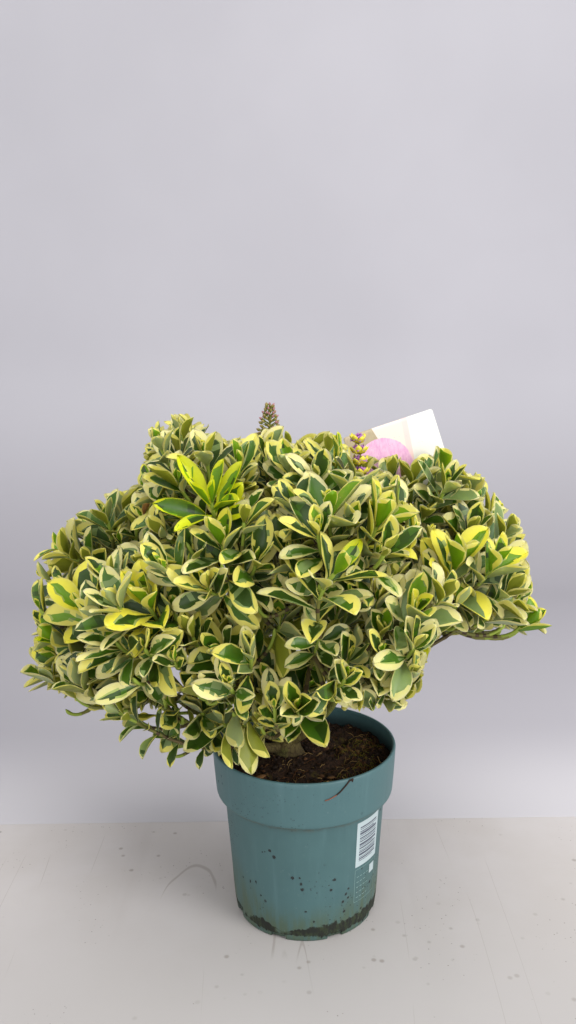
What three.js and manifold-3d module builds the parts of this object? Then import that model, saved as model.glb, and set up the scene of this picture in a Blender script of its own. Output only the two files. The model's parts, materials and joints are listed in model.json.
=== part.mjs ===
// A variegated hebe shrub growing in its round nursery pot, with a plain label card tied in the crown.
//
// Millimetres, +Z up. The origin is the middle of the pot's flat underside, and the plant's fuller
// side faces -Y. One short trunk stands in the soil. Boughs leave it, branch once, and end in masses
// of foliage. Each mass has one stem, from which leafy shoots branch by a seeded rule.
import * as THREE from 'three';
import { mergeVertices } from 'three/addons/utils/BufferGeometryUtils.js';
import Module from 'manifold-3d';

const wasm = await Module();
wasm.setup();

const CLEAR = 0.3; // space between neighbouring pieces
const CUT_CLEAR = 0.36; // the same, round a tube that is cut away from its neighbour
const UP = new THREE.Vector3(0, 0, 1);
const GOLDEN_TURN = Math.PI * (3 - Math.sqrt(5));

// Pot: a straight rim band that steps in over a narrow ledge to a tapering body.
const POT_HEIGHT = 137.4;
const RIM_RADIUS = 72.9;
const RIM_LOW_RADIUS = 70.4;
const RIM_BAND = 36;
const LEDGE_DROP = 3;
const BODY_RADIUS = 64.3;
const BASE_RADIUS = 56.8;
const FOOT_ROUND = 1.4;
const POT_WALL = 1.5;
const LIP_WIDTH = 2.6;
const LIP_DEPTH = 3;
const DRAIN_COUNT = 8;
const DRAIN_FIRST_AZIMUTH = 247;
const DRAIN_SIZE = { width: 12, depth: 9, height: 4.5 };

// Soil: a little below the rim, and uneven except where the trunk stands.
const SOIL_TOP = 127;
const SOIL_RELIEF = 2.2;
const SOIL_LEVEL_RADIUS = 17;

// Trunk: short, flared at the soil and leaning a little forward.
const TRUNK_FOOT = new THREE.Vector3(-12, 3, SOIL_TOP + CLEAR);
const TRUNK_LEAN = new THREE.Vector3(1.5, -2, 27);
const TRUNK_RADIUS = { foot: 12.5, waist: 8.6, top: 7.4 };
const TRUNK_RIDGES = 3;
const TRUNK_SIDES = 9;
const TRUNK_STEPS = 6;

// Boughs and stems.
const BOUGH_SHARE = 0.5; // a bough's foot against its parent's radius there
const SIDE_BOUGH_SHARE = 0.78;
const BOUGH_TIP_RADIUS = 1.7;
const BOUGH_SIDES = 5;
const BOUGH_STEPS = 5;
const STEM_STEPS = 4;
const STEM_SIDES = 3;
const STEM_LENGTH = 56;
const BOUGH_SAG = 0.3;
const BOUGH_PULL = 0.38;

// Crown: masses are placed round an axis, and grow away from its heart.
const CROWN_AXIS_X = -12;
const CROWN_HEART = new THREE.Vector3(CROWN_AXIS_X, 0, 185);
const CROWN_LIFT = 0.3;
const MASS_SPREAD = 31;
const MASS_BULGE = 14;
const UNDERSIDE = { height: 119, radius: 88, slope: 0.6, tilt: 0.22 }; // no leaf hangs lower
const MASS_GAP = 0.2; // from a mass's outline to the border of its space
const SHOOT_RADIUS = { foot: 1.7, tip: 1.2 };
const SHOOT_STEPS = 2;

// Leaves stand in pairs, each pair a quarter turn from the last.
const LEAF_WIDTH = 0.44; // of the length
const LEAF_THICKNESS = 1.7;
const MAX_LEAF = 50;
const LEAF_PAIRS = [
  { back: 2, length: 36, opening: 32 },
  { back: 11, length: 48, opening: 54 },
  { back: 21, length: 48, opening: 68 },
  { back: 32, length: 45, opening: 72 },
];
// How a leaf is tried in turn where it lacks room: its opening, its turn in degrees, and its size.
const LEAF_TRIES = [
  { opening: 1, turn: 0, size: 1 },
  { opening: 0.85, turn: 16, size: 1 },
  { opening: 0.85, turn: -16, size: 1 },
  { opening: 0.65, turn: 0, size: 0.97 },
  { opening: 0.6, turn: 25, size: 0.93 },
  { opening: 0.6, turn: -25, size: 0.93 },
  { opening: 0.85, turn: 40, size: 0.9 },
  { opening: 0.85, turn: -40, size: 0.9 },
  { opening: 0.4, turn: 0, size: 0.86 },
  { opening: 0.7, turn: 10, size: 0.76 },
];

// Each row is a mass and the bough that carries it. parent and at say where that bough leaves.
// azimuth runs from +X towards +Y, in degrees; reach is from the crown's axis.
const MASSES = [
  { name: 'left_low', azimuth: 205, reach: 136, height: 216, parent: 'trunk', at: 0.2, sag: 0.65 },
  { name: 'left_far_low', azimuth: 183, reach: 172, height: 200, parent: 'left_low', at: 0.2, sag: 0.5 },
  {
    name: 'left_under', azimuth: 211, reach: 106, height: 184, parent: 'left_far_low', at: 0.45, swing: 46,
    sag: 0,
  },
  { name: 'left_side', azimuth: 196, reach: 156, height: 260, parent: 'left_low', at: 0.5 },
  { name: 'left_shoulder', azimuth: 178, reach: 152, height: 312, parent: 'trunk', at: 0.62 },
  { name: 'left_front', azimuth: 224, reach: 132, height: 276, parent: 'left_shoulder', at: 0.4 },
  { name: 'top_left_back', azimuth: 148, reach: 86, height: 374, parent: 'left_shoulder', at: 0.5 },
  { name: 'top_left', azimuth: 219, reach: 72, height: 356, parent: 'trunk', at: 0.84, swing: 10, sag: 0.95 },
  { name: 'left_high', azimuth: 247, reach: 108, height: 318, parent: 'top_left', at: 0.45 },
  { name: 'top_middle', azimuth: 150, reach: 18, height: 362, parent: 'top_left', at: 0.5 },
  { name: 'front_mid', azimuth: 280, reach: 121, height: 262, parent: 'trunk', at: 0.66, swing: 20 },
  { name: 'front_left', azimuth: 249, reach: 112, height: 246, parent: 'left_low', at: 0.3 },
  { name: 'centre_high', azimuth: 292, reach: 106, height: 326, parent: 'front_mid', at: 0.5 },
  { name: 'right_low', azimuth: 319, reach: 104, height: 226, parent: 'trunk', at: 0.32 },
  { name: 'right_front', azimuth: 310, reach: 124, height: 276, parent: 'right_low', at: 0.45 },
  { name: 'right_upper', azimuth: 357, reach: 150, height: 312, parent: 'trunk', at: 0.7 },
  { name: 'right_far_low', azimuth: 358, reach: 158, height: 250, parent: 'right_upper', at: 0.4, sag: 0 },
  { name: 'right_side', azimuth: 336, reach: 139, height: 282, parent: 'right_upper', at: 0.6 },
  { name: 'right_top', azimuth: 5, reach: 112, height: 343, parent: 'right_upper', at: 0.5 },
  { name: 'top_right', azimuth: 316, reach: 43, height: 368, parent: 'trunk', at: 0.98, swing: 12 },
  { name: 'back_top', azimuth: 88, reach: 62, height: 358, parent: 'top_right', at: 0.5 },
  { name: 'back_centre', azimuth: 92, reach: 125, height: 280, parent: 'trunk', at: 0.7 },
  { name: 'back_left_high', azimuth: 128, reach: 108, height: 320, parent: 'back_centre', at: 0.45 },
  { name: 'back_right_high', azimuth: 50, reach: 110, height: 316, parent: 'back_centre', at: 0.6 },
  { name: 'back_left', azimuth: 150, reach: 146, height: 260, parent: 'trunk', at: 0.4 },
  { name: 'back_right', azimuth: 30, reach: 143, height: 256, parent: 'trunk', at: 0.45 },
  { name: 'back_right_low', azimuth: 58, reach: 118, height: 210, parent: 'back_right', at: 0.4 },
  { name: 'back_left_low', azimuth: 118, reach: 112, height: 212, at: 0.2, direct: true },
  { name: 'front_low', azimuth: 262, reach: 82, height: 216, at: 0.1, direct: true },
];
const SHOOTS_PER_MASS = 4; // the first of them is the end of the stem

// Spikes of blossom stand on shoots of their own.
const SPIKES = [
  { mass: 'top_middle', foot: new THREE.Vector3(-23, 4, 368), length: 38, radius: 4.3 },
  { mass: 'top_right', foot: new THREE.Vector3(46, -2, 350), length: 28, radius: 5.5 },
];
const SPIKE_SIDES = 6;
const SPIKE_WHORLS = 4;

// Label card and the tie that holds it to a bough.
const CARD = { width: 74, height: 58, thickness: 0.8, azimuth: 4, turn: 17 };
const CARD_TOP = new THREE.Vector3(69, 32, 387);
const CARD_BOUGH = { name: 'right_top', at: 0.9 };
const TIE_RADIUS = 1.1;
const TIE_RING = 2.4;

const FINISHES = {
  pot: { color: 0x5d8c8b, roughness: 0.55, metalness: 0 },
  soil: { color: 0x33221a, roughness: 1, metalness: 0 },
  bark: { color: 0x6f6445, roughness: 0.85, metalness: 0 },
  foliage: { color: 0x7f9a45, roughness: 0.5, metalness: 0 },
  card: { color: 0xe5d3d8, roughness: 0.5, metalness: 0 },
};

const degrees = THREE.MathUtils.degToRad;

/** A repeatable stream of numbers from 0 to 1. */
function seeded(seed) {
  let state = seed >>> 0;
  return () => {
    state = (state + 0x6d2b79f5) >>> 0;
    let mixed = Math.imul(state ^ (state >>> 15), state | 1);
    mixed ^= mixed + Math.imul(mixed ^ (mixed >>> 7), mixed | 61);
    return ((mixed ^ (mixed >>> 14)) >>> 0) / 4294967296;
  };
}

// Solids

/** A closed solid from shared points and triangles. */
function solidFrom(points, triangles) {
  const vertProperties = new Float32Array(points.flatMap((point) => point.toArray()));
  const triVerts = new Uint32Array(triangles.flat());
  return new wasm.Manifold(new wasm.Mesh({ numProp: 3, vertProperties, triVerts }));
}

/** A closed solid from a three.js geometry, without the triangles that its poles collapse. */
function solidOf(geometry) {
  geometry.deleteAttribute('normal');
  geometry.deleteAttribute('uv');
  const merged = mergeVertices(geometry, 1e-4);
  const place = merged.attributes.position;
  const points = [];
  for (let i = 0; i < place.count; i += 1) points.push(new THREE.Vector3().fromBufferAttribute(place, i));
  const triangles = [];
  for (let i = 0; i < merged.index.count; i += 3) {
    const [a, b, c] = [0, 1, 2].map((corner) => merged.index.getX(i + corner));
    if (a !== b && b !== c && c !== a) triangles.push([a, b, c]);
  }
  return solidFrom(points, triangles);
}

/** The outer skin of a solid's largest body: what fusing seals is filled, and scraps are dropped. */
function oneBody(solid) {
  const bodies = solid.decompose();
  return bodies.reduce((best, body) => (body.volume() > best.volume() ? body : best));
}

/** A bar through the points, with flat ends square to their ways. radiusAt takes a step and an angle. */
function bar(points, radiusAt, sides, ways = {}) {
  const corners = [];
  const triangles = [];
  let across = new THREE.Vector3(0, 1, 0);
  points.forEach((point, step) => {
    const before = points[Math.max(step - 1, 0)];
    const after = points[Math.min(step + 1, points.length - 1)];
    const along = (ways[step] ?? after.clone().sub(before)).clone().normalize();
    if (step === 0 && Math.abs(along.y) > 0.8) across.set(1, 0, 0);
    across = across.clone().addScaledVector(along, -across.dot(along)).normalize();
    const over = along.clone().cross(across);
    for (let side = 0; side < sides; side += 1) {
      const angle = (side / sides) * 2 * Math.PI;
      const out = across.clone().multiplyScalar(Math.cos(angle)).addScaledVector(over, Math.sin(angle));
      corners.push(point.clone().addScaledVector(out, radiusAt(step, angle)));
    }
  });
  const last = (points.length - 1) * sides;
  for (let ring = 0; ring < last; ring += sides) {
    for (let side = 0; side < sides; side += 1) {
      const next = (side + 1) % sides;
      triangles.push([ring + side, ring + next, ring + sides + next]);
      triangles.push([ring + side, ring + sides + next, ring + sides + side]);
    }
  }
  for (let side = 1; side < sides - 1; side += 1) {
    triangles.push([0, side + 1, side]);
    triangles.push([last, last + side, last + side + 1]);
  }
  return solidFrom(corners, triangles);
}

/** The ways that a limb's two ends face, by their steps. */
const endWays = ({ curve, points }) => ({ 0: curve.getTangent(0), [points.length - 1]: curve.getTangent(1) });

/** A bar with one radius for each point. */
const limbBar = (limb, sides, extra = 0) =>
  bar(limb.points, (step) => limb.radii[step] + extra, sides, endWays(limb));

function meshFrom(name, solid, finish) {
  const { vertProperties, triVerts } = solid.getMesh();
  const geometry = new THREE.BufferGeometry();
  geometry.setAttribute('position', new THREE.BufferAttribute(Float32Array.from(vertProperties), 3));
  geometry.setIndex(new THREE.BufferAttribute(Uint32Array.from(triVerts), 1));
  geometry.computeVertexNormals();
  const mesh = new THREE.Mesh(geometry, new THREE.MeshStandardMaterial({ ...finish, flatShading: true }));
  mesh.name = name;
  return mesh;
}

// Distances

const clamp01 = (value) => Math.min(Math.max(value, 0), 1);

/** The closest points of the segments a-b and c-d. */
function closest(a, b, c, d) {
  const u = b.clone().sub(a);
  const v = d.clone().sub(c);
  const w = a.clone().sub(c);
  const uu = u.dot(u);
  const vv = v.dot(v);
  const uv = u.dot(v);
  const spread = uu * vv - uv * uv;
  let s = spread > 1e-9 ? clamp01((uv * v.dot(w) - vv * u.dot(w)) / spread) : 0;
  const t = clamp01((uv * s + v.dot(w)) / vv);
  s = clamp01((uv * t - u.dot(w)) / uu);
  return [a.clone().addScaledVector(u, s), c.clone().addScaledVector(v, t)];
}

const gapBetween = (a, b, c, d) => {
  const [p, q] = closest(a, b, c, d);
  return p.distanceTo(q);
};

/** How far the segment a-b is from a triangle. */
function gapToTriangle(a, b, triangle) {
  const [p, q, r] = triangle;
  const flat = new THREE.Triangle(p, q, r);
  const normal = flat.getNormal(new THREE.Vector3());
  const above = normal.dot(a.clone().sub(p));
  const below = normal.dot(b.clone().sub(p));
  if (above * below < 0) {
    const crossing = a.clone().lerp(b, above / (above - below));
    if (flat.containsPoint(crossing)) return 0;
  }
  const ends = [a, b].map((end) => flat.closestPointToPoint(end, new THREE.Vector3()).distanceTo(end));
  return Math.min(...ends, gapBetween(a, b, p, q), gapBetween(a, b, q, r), gapBetween(a, b, r, p));
}

// Limbs

/** A tapering limb along a curve: its points and their radii. */
function limbAlong(curve, steps, foot, tip) {
  const points = curve.getPoints(steps);
  const radii = points.map((_, step) => foot + ((tip - foot) * step) / steps);
  return { curve, points, radii, foot, tip };
}

const radiusOn = (limb, at) => limb.foot + (limb.tip - limb.foot) * at;

/** Where a mass sits, which way it grows, and where its bough ends. */
function placeOf(row) {
  const azimuth = degrees(row.azimuth);
  const centre = new THREE.Vector3(
    CROWN_AXIS_X + row.reach * Math.cos(azimuth),
    row.reach * Math.sin(azimuth),
    row.height,
  );
  const out = centre.clone().sub(CROWN_HEART).normalize().addScaledVector(UP, CROWN_LIFT).normalize();
  const foot = centre.clone().addScaledVector(out, -STEM_LENGTH);
  return { centre, out, foot };
}

/** A bough's curve: it leaves low, then rises into its mass. */
function boughTo(row, place, parent) {
  const start = parent.curve.getPoint(row.at);
  const chord = place.foot.clone().sub(start);
  const length = chord.length();
  chord.normalize();
  const leave = chord.clone().addScaledVector(UP, -(row.sag ?? BOUGH_SAG)).normalize();
  leave.applyAxisAngle(UP, degrees(row.swing ?? 0));
  const arrive = chord.clone().add(place.out).normalize();
  const curve = new THREE.CubicBezierCurve3(
    start,
    start.clone().addScaledVector(leave, length * BOUGH_PULL),
    place.foot.clone().addScaledVector(arrive, -length * BOUGH_PULL),
    place.foot,
  );
  const share = parent === trunk ? BOUGH_SHARE : SIDE_BOUGH_SHARE;
  const limb = limbAlong(curve, BOUGH_STEPS, radiusOn(parent, row.at) * share, BOUGH_TIP_RADIUS);
  return { ...limb, arrive };
}

/** A mass's stem: from just beyond the bough's tip, or out of the trunk, to the mass's first tip. */
function stemOf(row, place, bough) {
  const from = row.direct ? trunk.curve.getPoint(row.at) : place.foot;
  const top = place.centre;
  const way = row.direct ? top.clone().sub(from).normalize() : bough.arrive;
  const start = row.direct ? from : from.clone().addScaledVector(way, CLEAR);
  const bend = start.clone().addScaledVector(way, top.distanceTo(start) * 0.5);
  const curve = new THREE.QuadraticBezierCurve3(start, bend, top);
  const foot = row.direct ? BOUGH_TIP_RADIUS * 1.2 : BOUGH_TIP_RADIUS;
  return limbAlong(curve, STEM_STEPS, foot, SHOOT_RADIUS.tip);
}

const trunk = (() => {
  const middle = TRUNK_FOOT.clone().addScaledVector(TRUNK_LEAN, 0.5).add(new THREE.Vector3(-0.8, 0, 0));
  const top = TRUNK_FOOT.clone().add(TRUNK_LEAN);
  const curve = new THREE.QuadraticBezierCurve3(TRUNK_FOOT, middle, top);
  const limb = limbAlong(curve, TRUNK_STEPS, TRUNK_RADIUS.waist, TRUNK_RADIUS.top);
  const spread = TRUNK_RADIUS.foot - TRUNK_RADIUS.waist;
  const flare = limb.radii.map((_, step) => spread * (1 - step / TRUNK_STEPS) ** 4);
  const radiusAt = (step, angle) => {
    const ridge = 1 + 0.3 * Math.cos(TRUNK_RIDGES * angle);
    return limb.radii[step] + flare[step] * ridge;
  };
  return { ...limb, radiusAt };
})();

// The crown

const growing = MASSES.map((row) => ({ row, place: placeOf(row) }));
const boughs = new Map([['trunk', trunk]]);
for (const mass of growing) {
  if (!mass.row.direct) {
    boughs.set(mass.row.name, boughTo(mass.row, mass.place, boughs.get(mass.row.parent)));
  }
  mass.stem = stemOf(mass.row, mass.place, boughs.get(mass.row.name));
}

/** The borders of a mass's space: planes halfway between its stem's line and each neighbour's. */
function bordersOf(mass) {
  return growing
    .filter((other) => other !== mass)
    .map((other) => {
      const ends = [mass, other].flatMap(({ place }) => [place.foot, place.centre]);
      const [own, theirs] = closest(...ends);
      const normal = theirs.clone().sub(own);
      const half = normal.length() / 2;
      normal.normalize();
      return { normal, limit: normal.dot(own) + half - MASS_GAP };
    });
}

const inside = (point, borders, margin = 0) =>
  borders.every(({ normal, limit }) => normal.dot(point) <= limit - margin);

/** Whether a point is above the crown's underside, a bowl that sits higher towards +X. */
function aboveUnderside(point) {
  const out = Math.hypot(point.x - CROWN_AXIS_X, point.y);
  const bowl = UNDERSIDE.slope * Math.max(out - UNDERSIDE.radius, 0);
  return point.z > UNDERSIDE.height + bowl + UNDERSIDE.tilt * Math.max(point.x, 0);
}

/** Whether a point keeps off the pot and the soil. */
function clearOfPot(point) {
  const out = Math.hypot(point.x, point.y);
  return point.z > POT_HEIGHT + 1.5 || (out > RIM_RADIUS + 1.5 && point.z > 4);
}

// The label card: its frame, its outline and its tie, which loops round a bough.
const card = (() => {
  const facing = new THREE.Vector3(Math.sin(degrees(CARD.azimuth)), -Math.cos(degrees(CARD.azimuth)), 0.12);
  facing.normalize();
  const up = UP.clone().addScaledVector(facing, -facing.z).normalize();
  up.applyAxisAngle(facing, degrees(CARD.turn));
  const right = up.clone().cross(facing);
  const middle = CARD_TOP.clone().addScaledVector(up, -CARD.height / 2);
  const bough = boughs.get(CARD_BOUGH.name);
  const hold = bough.curve.getPoint(CARD_BOUGH.at);
  const axis = bough.curve.getTangent(CARD_BOUGH.at);
  const foot = CARD_TOP.clone().addScaledVector(up, -CARD.height);
  const holdRadius = radiusOn(bough, CARD_BOUGH.at);
  const rise = foot.clone().sub(hold).addScaledVector(axis, -foot.clone().sub(hold).dot(axis)).normalize();
  const ringRadius = holdRadius + CLEAR + TIE_RING / 2 + 0.1;
  const tieFoot = hold.clone().addScaledVector(rise, ringRadius);
  return { facing, up, right, middle, foot, hold, axis, holdRadius, ringRadius, tieFoot };
})();

/** Whether all the points lie on one side of the card's box, with room to spare. */
function clearOfCard(points, room) {
  const box = [
    [card.right, CARD.width / 2],
    [card.up, CARD.height / 2],
    [card.facing, CARD.thickness / 2],
  ];
  return box.some(([axis, half]) => {
    const along = points.map((point) => axis.dot(point) - axis.dot(card.middle));
    return Math.min(...along) > half + room || Math.max(...along) < -half - room;
  });
}

const tieLimb = { points: [card.tieFoot, card.foot], radii: [TIE_RADIUS, TIE_RADIUS] };
const ringLimb = { points: [card.hold, card.tieFoot], radii: [card.ringRadius, TIE_RING] };
const obstacles = [...boughs.values(), tieLimb, ringLimb];

/** Whether a bar through the points stays in its space and off the pot, the card and every limb. */
function barClear(points, radius, borders) {
  if (!points.every((point) => inside(point, borders, radius) && clearOfPot(point))) return false;
  if (!clearOfCard(points, radius + CLEAR)) return false;
  return obstacles.every((limb) => points.slice(1).every((end, step) =>
    limb.points.slice(1).every((limbEnd, at) => {
      const room = radius + Math.max(limb.radii[at], limb.radii[at + 1]) + CLEAR;
      return gapBetween(points[step], end, limb.points[at], limbEnd) > room;
    })));
}

/** The six corners of a leaf: root, two low, two high, tip. */
function leafCorners(root, way, across, face, length) {
  const half = (length * LEAF_WIDTH) / 2;
  const corner = (along, side, lift) => root.clone()
    .addScaledVector(way, along * length)
    .addScaledVector(across, side * half)
    .addScaledVector(face, lift * LEAF_THICKNESS);
  return [corner(0, 0, 0), corner(0.38, -0.78, 1), corner(0.38, 0.78, 1),
    corner(0.76, -1, 1), corner(0.76, 1, 1), corner(1, 0, 0.3)];
}

const LEAF_TOP = [[0, 1, 2], [1, 4, 2], [1, 3, 4], [3, 5, 4]];
const LEAF_BACK = [[0, 5, 1], [1, 5, 3], [0, 2, 5], [2, 4, 5]];

const LEAF_LINES = [[0, 5], [1, 2], [3, 4], [0, 1], [1, 3], [3, 5], [0, 2], [2, 4], [4, 5]];

/** Whether a line of one leaf runs through the other's blade. */
function pierces(leaf, other) {
  return LEAF_TOP.some((face) => {
    const [p, q, r] = face.map((i) => other[i]);
    const flat = new THREE.Triangle(p, q, r);
    const normal = flat.getNormal(new THREE.Vector3());
    return LEAF_LINES.some(([from, to]) => {
      const above = normal.dot(leaf[from].clone().sub(p));
      const below = normal.dot(leaf[to].clone().sub(p));
      if (above * below >= 0) return false;
      return flat.containsPoint(leaf[from].clone().lerp(leaf[to], above / (above - below)));
    });
  });
}

const crosses = (leaf, other) =>
  leaf[0].distanceTo(other[0]) < 2 * MAX_LEAF && (pierces(leaf, other) || pierces(other, leaf));

/** Whether a leaf stays in its mass's space and off the pot, the card and every limb. */
function leafClear(corners, borders, shoots) {
  if (!corners.every((point) => aboveUnderside(point) && inside(point, borders))) return false;
  const middle = corners[0].clone().lerp(corners[5], 0.5);
  const between = corners.slice(1).map((point) => point.clone().lerp(middle, 0.5));
  if (![...corners, ...between, middle].every(clearOfPot) || !clearOfCard(corners, CLEAR)) return false;
  const reach = middle.distanceTo(corners[0]) + 4;
  const room = LEAF_THICKNESS + CLEAR;
  return [...obstacles, ...shoots].every((limb) => limb.points.slice(1).every((end, at) => {
    const start = limb.points[at];
    const radius = Math.max(limb.radii[at], limb.radii[at + 1]);
    const near = new THREE.Line3(start, end).closestPointToPoint(middle, true, new THREE.Vector3());
    if (near.distanceTo(middle) > reach + radius + room) return true;
    return LEAF_TOP.every((face) => gapToTriangle(start, end, face.map((i) => corners[i])) > radius + room);
  }));
}

/** The pairs of leaves near a shoot's tip. A leaf with no room folds up, and is left out in the end. */
function leavesOn(shoot, borders, others, grown, random) {
  const leaves = [];
  const length = shoot.curve.getLength();
  const firstTurn = random() * Math.PI;
  LEAF_PAIRS.forEach((pair, step) => {
    const at = 1 - pair.back / length;
    if (at < 0.12) return;
    const root = shoot.curve.getPoint(at);
    const along = shoot.curve.getTangent(at);
    const level = along.clone().cross(UP).normalize();
    const own = leaves.length;
    for (const side of [0, 1]) {
      const turn = firstTurn + step * (Math.PI / 2) + side * Math.PI + (random() - 0.5) * 0.5;
      const size = pair.length * (0.9 + 0.2 * random());
      const opening = degrees(pair.opening + (random() - 0.5) * 14);
      const rivals = [...grown, ...leaves.slice(0, own)];
      for (const attempt of LEAF_TRIES) {
        const radial = level.clone().applyAxisAngle(along, turn + degrees(attempt.turn));
        const across = along.clone().cross(radial);
        const angle = opening * attempt.opening;
        const way = along.clone().multiplyScalar(Math.cos(angle)).addScaledVector(radial, Math.sin(angle));
        const face = along.clone().multiplyScalar(Math.sin(angle)).addScaledVector(radial, -Math.cos(angle));
        const corners = leafCorners(root, way, across, face, size * attempt.size);
        if (leafClear(corners, borders, others) && !rivals.some((rival) => crosses(corners, rival))) {
          leaves.push(corners);
          break;
        }
      }
    }
  });
  return leaves;
}

/** One shoot from the mass's stem to a tip, bent towards the way that the tip aims. */
function shootTo(tip, aim, mass, at, borders) {
  const start = mass.stem.curve.getPoint(at);
  const bend = tip.clone().addScaledVector(aim, -0.45 * tip.distanceTo(start));
  const curve = new THREE.QuadraticBezierCurve3(start, bend, tip);
  const shoot = limbAlong(curve, SHOOT_STEPS, SHOOT_RADIUS.foot, SHOOT_RADIUS.tip);
  return barClear(shoot.points, SHOOT_RADIUS.foot, borders) ? shoot : null;
}

/** Everything that grows from one mass's stem. */
function growMass(mass, seed) {
  const { row, place } = mass;
  const random = seeded(seed);
  const borders = bordersOf(mass);
  const across = place.out.clone().cross(UP).normalize();
  const over = across.clone().cross(place.out);
  const shoots = [];
  for (let i = 1; i < SHOOTS_PER_MASS; i += 1) {
    const far = Math.sqrt(i / (SHOOTS_PER_MASS - 1));
    const firstTurn = i * GOLDEN_TURN + degrees(row.azimuth);
    const spread = MASS_SPREAD * (0.9 + 0.2 * random());
    for (const [shift, pull] of [[0, 1], [0.5, 0.9], [-0.5, 0.9], [0.2, 0.7], [0, 0.45]]) {
      const turn = firstTurn + shift;
      const side = across.clone().multiplyScalar(Math.cos(turn)).addScaledVector(over, Math.sin(turn));
      const tip = place.centre.clone()
        .addScaledVector(side, spread * far * pull)
        .addScaledVector(place.out, -MASS_BULGE * far);
      const aim = place.out.clone().addScaledVector(side, 0.6 * far).addScaledVector(UP, 0.35).normalize();
      const shoot = inside(tip, borders, 5) && shootTo(tip, aim, mass, 0.62 - 0.3 * far, borders);
      if (shoot) {
        shoots.push(shoot);
        break;
      }
    }
  }
  const leaves = [];
  const twigs = [mass.stem, ...shoots];
  for (const twig of twigs) {
    leaves.push(...leavesOn(twig, borders, twigs.filter((other) => other !== twig), leaves, random));
  }
  const spikes = [];
  for (const spike of SPIKES.filter(({ mass: name }) => name === row.name)) {
    const shoot = shootTo(spike.foot, UP, mass, 0.6, borders);
    if (!shoot) continue;
    shoots.push(shoot);
    spikes.push(spike);
  }
  return { shoots, leaves, spikes };
}

/** A spike of blossom: whorls of buds that shrink to its tip. */
function spikeSolid({ foot, length, radius }) {
  const rings = SPIKE_WHORLS * 2;
  const points = [];
  for (let i = 0; i <= rings; i += 1) points.push(foot.clone().addScaledVector(UP, (length * i) / rings));
  const radiusAt = (step) => {
    const taper = 1 - 0.75 * (step / rings) ** 2;
    return radius * taper * (step % 2 ? 1 : 0.62);
  };
  return bar(points, radiusAt, SPIKE_SIDES);
}

function massSolid(mass, seed) {
  const { shoots, leaves, spikes } = growMass(mass, seed);
  const solids = [
    limbBar(mass.stem, STEM_SIDES),
    ...shoots.map((shoot) => limbBar(shoot, 3)),
    ...leaves.map((corners) => solidFrom(corners, [...LEAF_TOP, ...LEAF_BACK])),
    ...spikes.map(spikeSolid),
  ];
  const fused = oneBody(wasm.Manifold.union(solids));
  return mass.row.direct ? oneBody(fused.subtract(trunkSolid(CUT_CLEAR))) : fused;
}

// Pot, soil and trunk

/** The pot's outer outline from its foot to its lip, and how far in the wall reaches. */
function potProfile() {
  const bodyTop = POT_HEIGHT - RIM_BAND - LEDGE_DROP;
  const ledge = [1, 2, 3].map((step) => {
    const angle = (step / 3) * (Math.PI / 2);
    return [
      BODY_RADIUS + (RIM_LOW_RADIUS - BODY_RADIUS) * Math.sin(angle),
      bodyTop + LEDGE_DROP * (1 - Math.cos(angle)),
    ];
  });
  const outer = [[BASE_RADIUS, FOOT_ROUND], [BODY_RADIUS, bodyTop], ...ledge];
  const wallRise = (height) => (height > FOOT_ROUND ? height : 0) + POT_WALL;
  const inner = outer.map(([radius, height]) => [radius - POT_WALL, wallRise(height)]).reverse();
  return [
    [0, 0],
    [BASE_RADIUS - FOOT_ROUND, 0],
    ...outer,
    [RIM_RADIUS, POT_HEIGHT - 0.6],
    [RIM_RADIUS - 0.7, POT_HEIGHT],
    [RIM_RADIUS - LIP_WIDTH, POT_HEIGHT],
    [RIM_RADIUS - LIP_WIDTH, POT_HEIGHT - LIP_DEPTH],
    ...inner,
    [0, POT_WALL],
  ];
}

const lathe = (profile, segments) =>
  new THREE.LatheGeometry(profile.map(([radius, height]) => new THREE.Vector2(radius, height)), segments)
    .rotateX(Math.PI / 2);

function potSolid() {
  let solid = solidOf(lathe(potProfile(), 28));
  for (let i = 0; i < DRAIN_COUNT; i += 1) {
    const azimuth = degrees(DRAIN_FIRST_AZIMUTH + (i * 360) / DRAIN_COUNT);
    const { width, depth, height } = DRAIN_SIZE;
    const slot = new THREE.BoxGeometry(depth * 2, width, height * 2)
      .translate(BASE_RADIUS, 0, 0)
      .rotateZ(azimuth);
    solid = solid.subtract(solidOf(slot));
  }
  return oneBody(solid);
}

/** Height of the soil's relief at a place: level round the trunk, and lower towards the pot's wall. */
function soilRelief(x, y) {
  const fromTrunk = Math.hypot(x - TRUNK_FOOT.x, y - TRUNK_FOOT.y);
  const rough = Math.sin(x * 0.21 + 1.3) * Math.cos(y * 0.17 - 0.6) + 0.5 * Math.sin(x * 0.43 - y * 0.39);
  return SOIL_RELIEF * (rough - 1.5) * clamp01((fromTrunk - SOIL_LEVEL_RADIUS) / 20);
}

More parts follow.
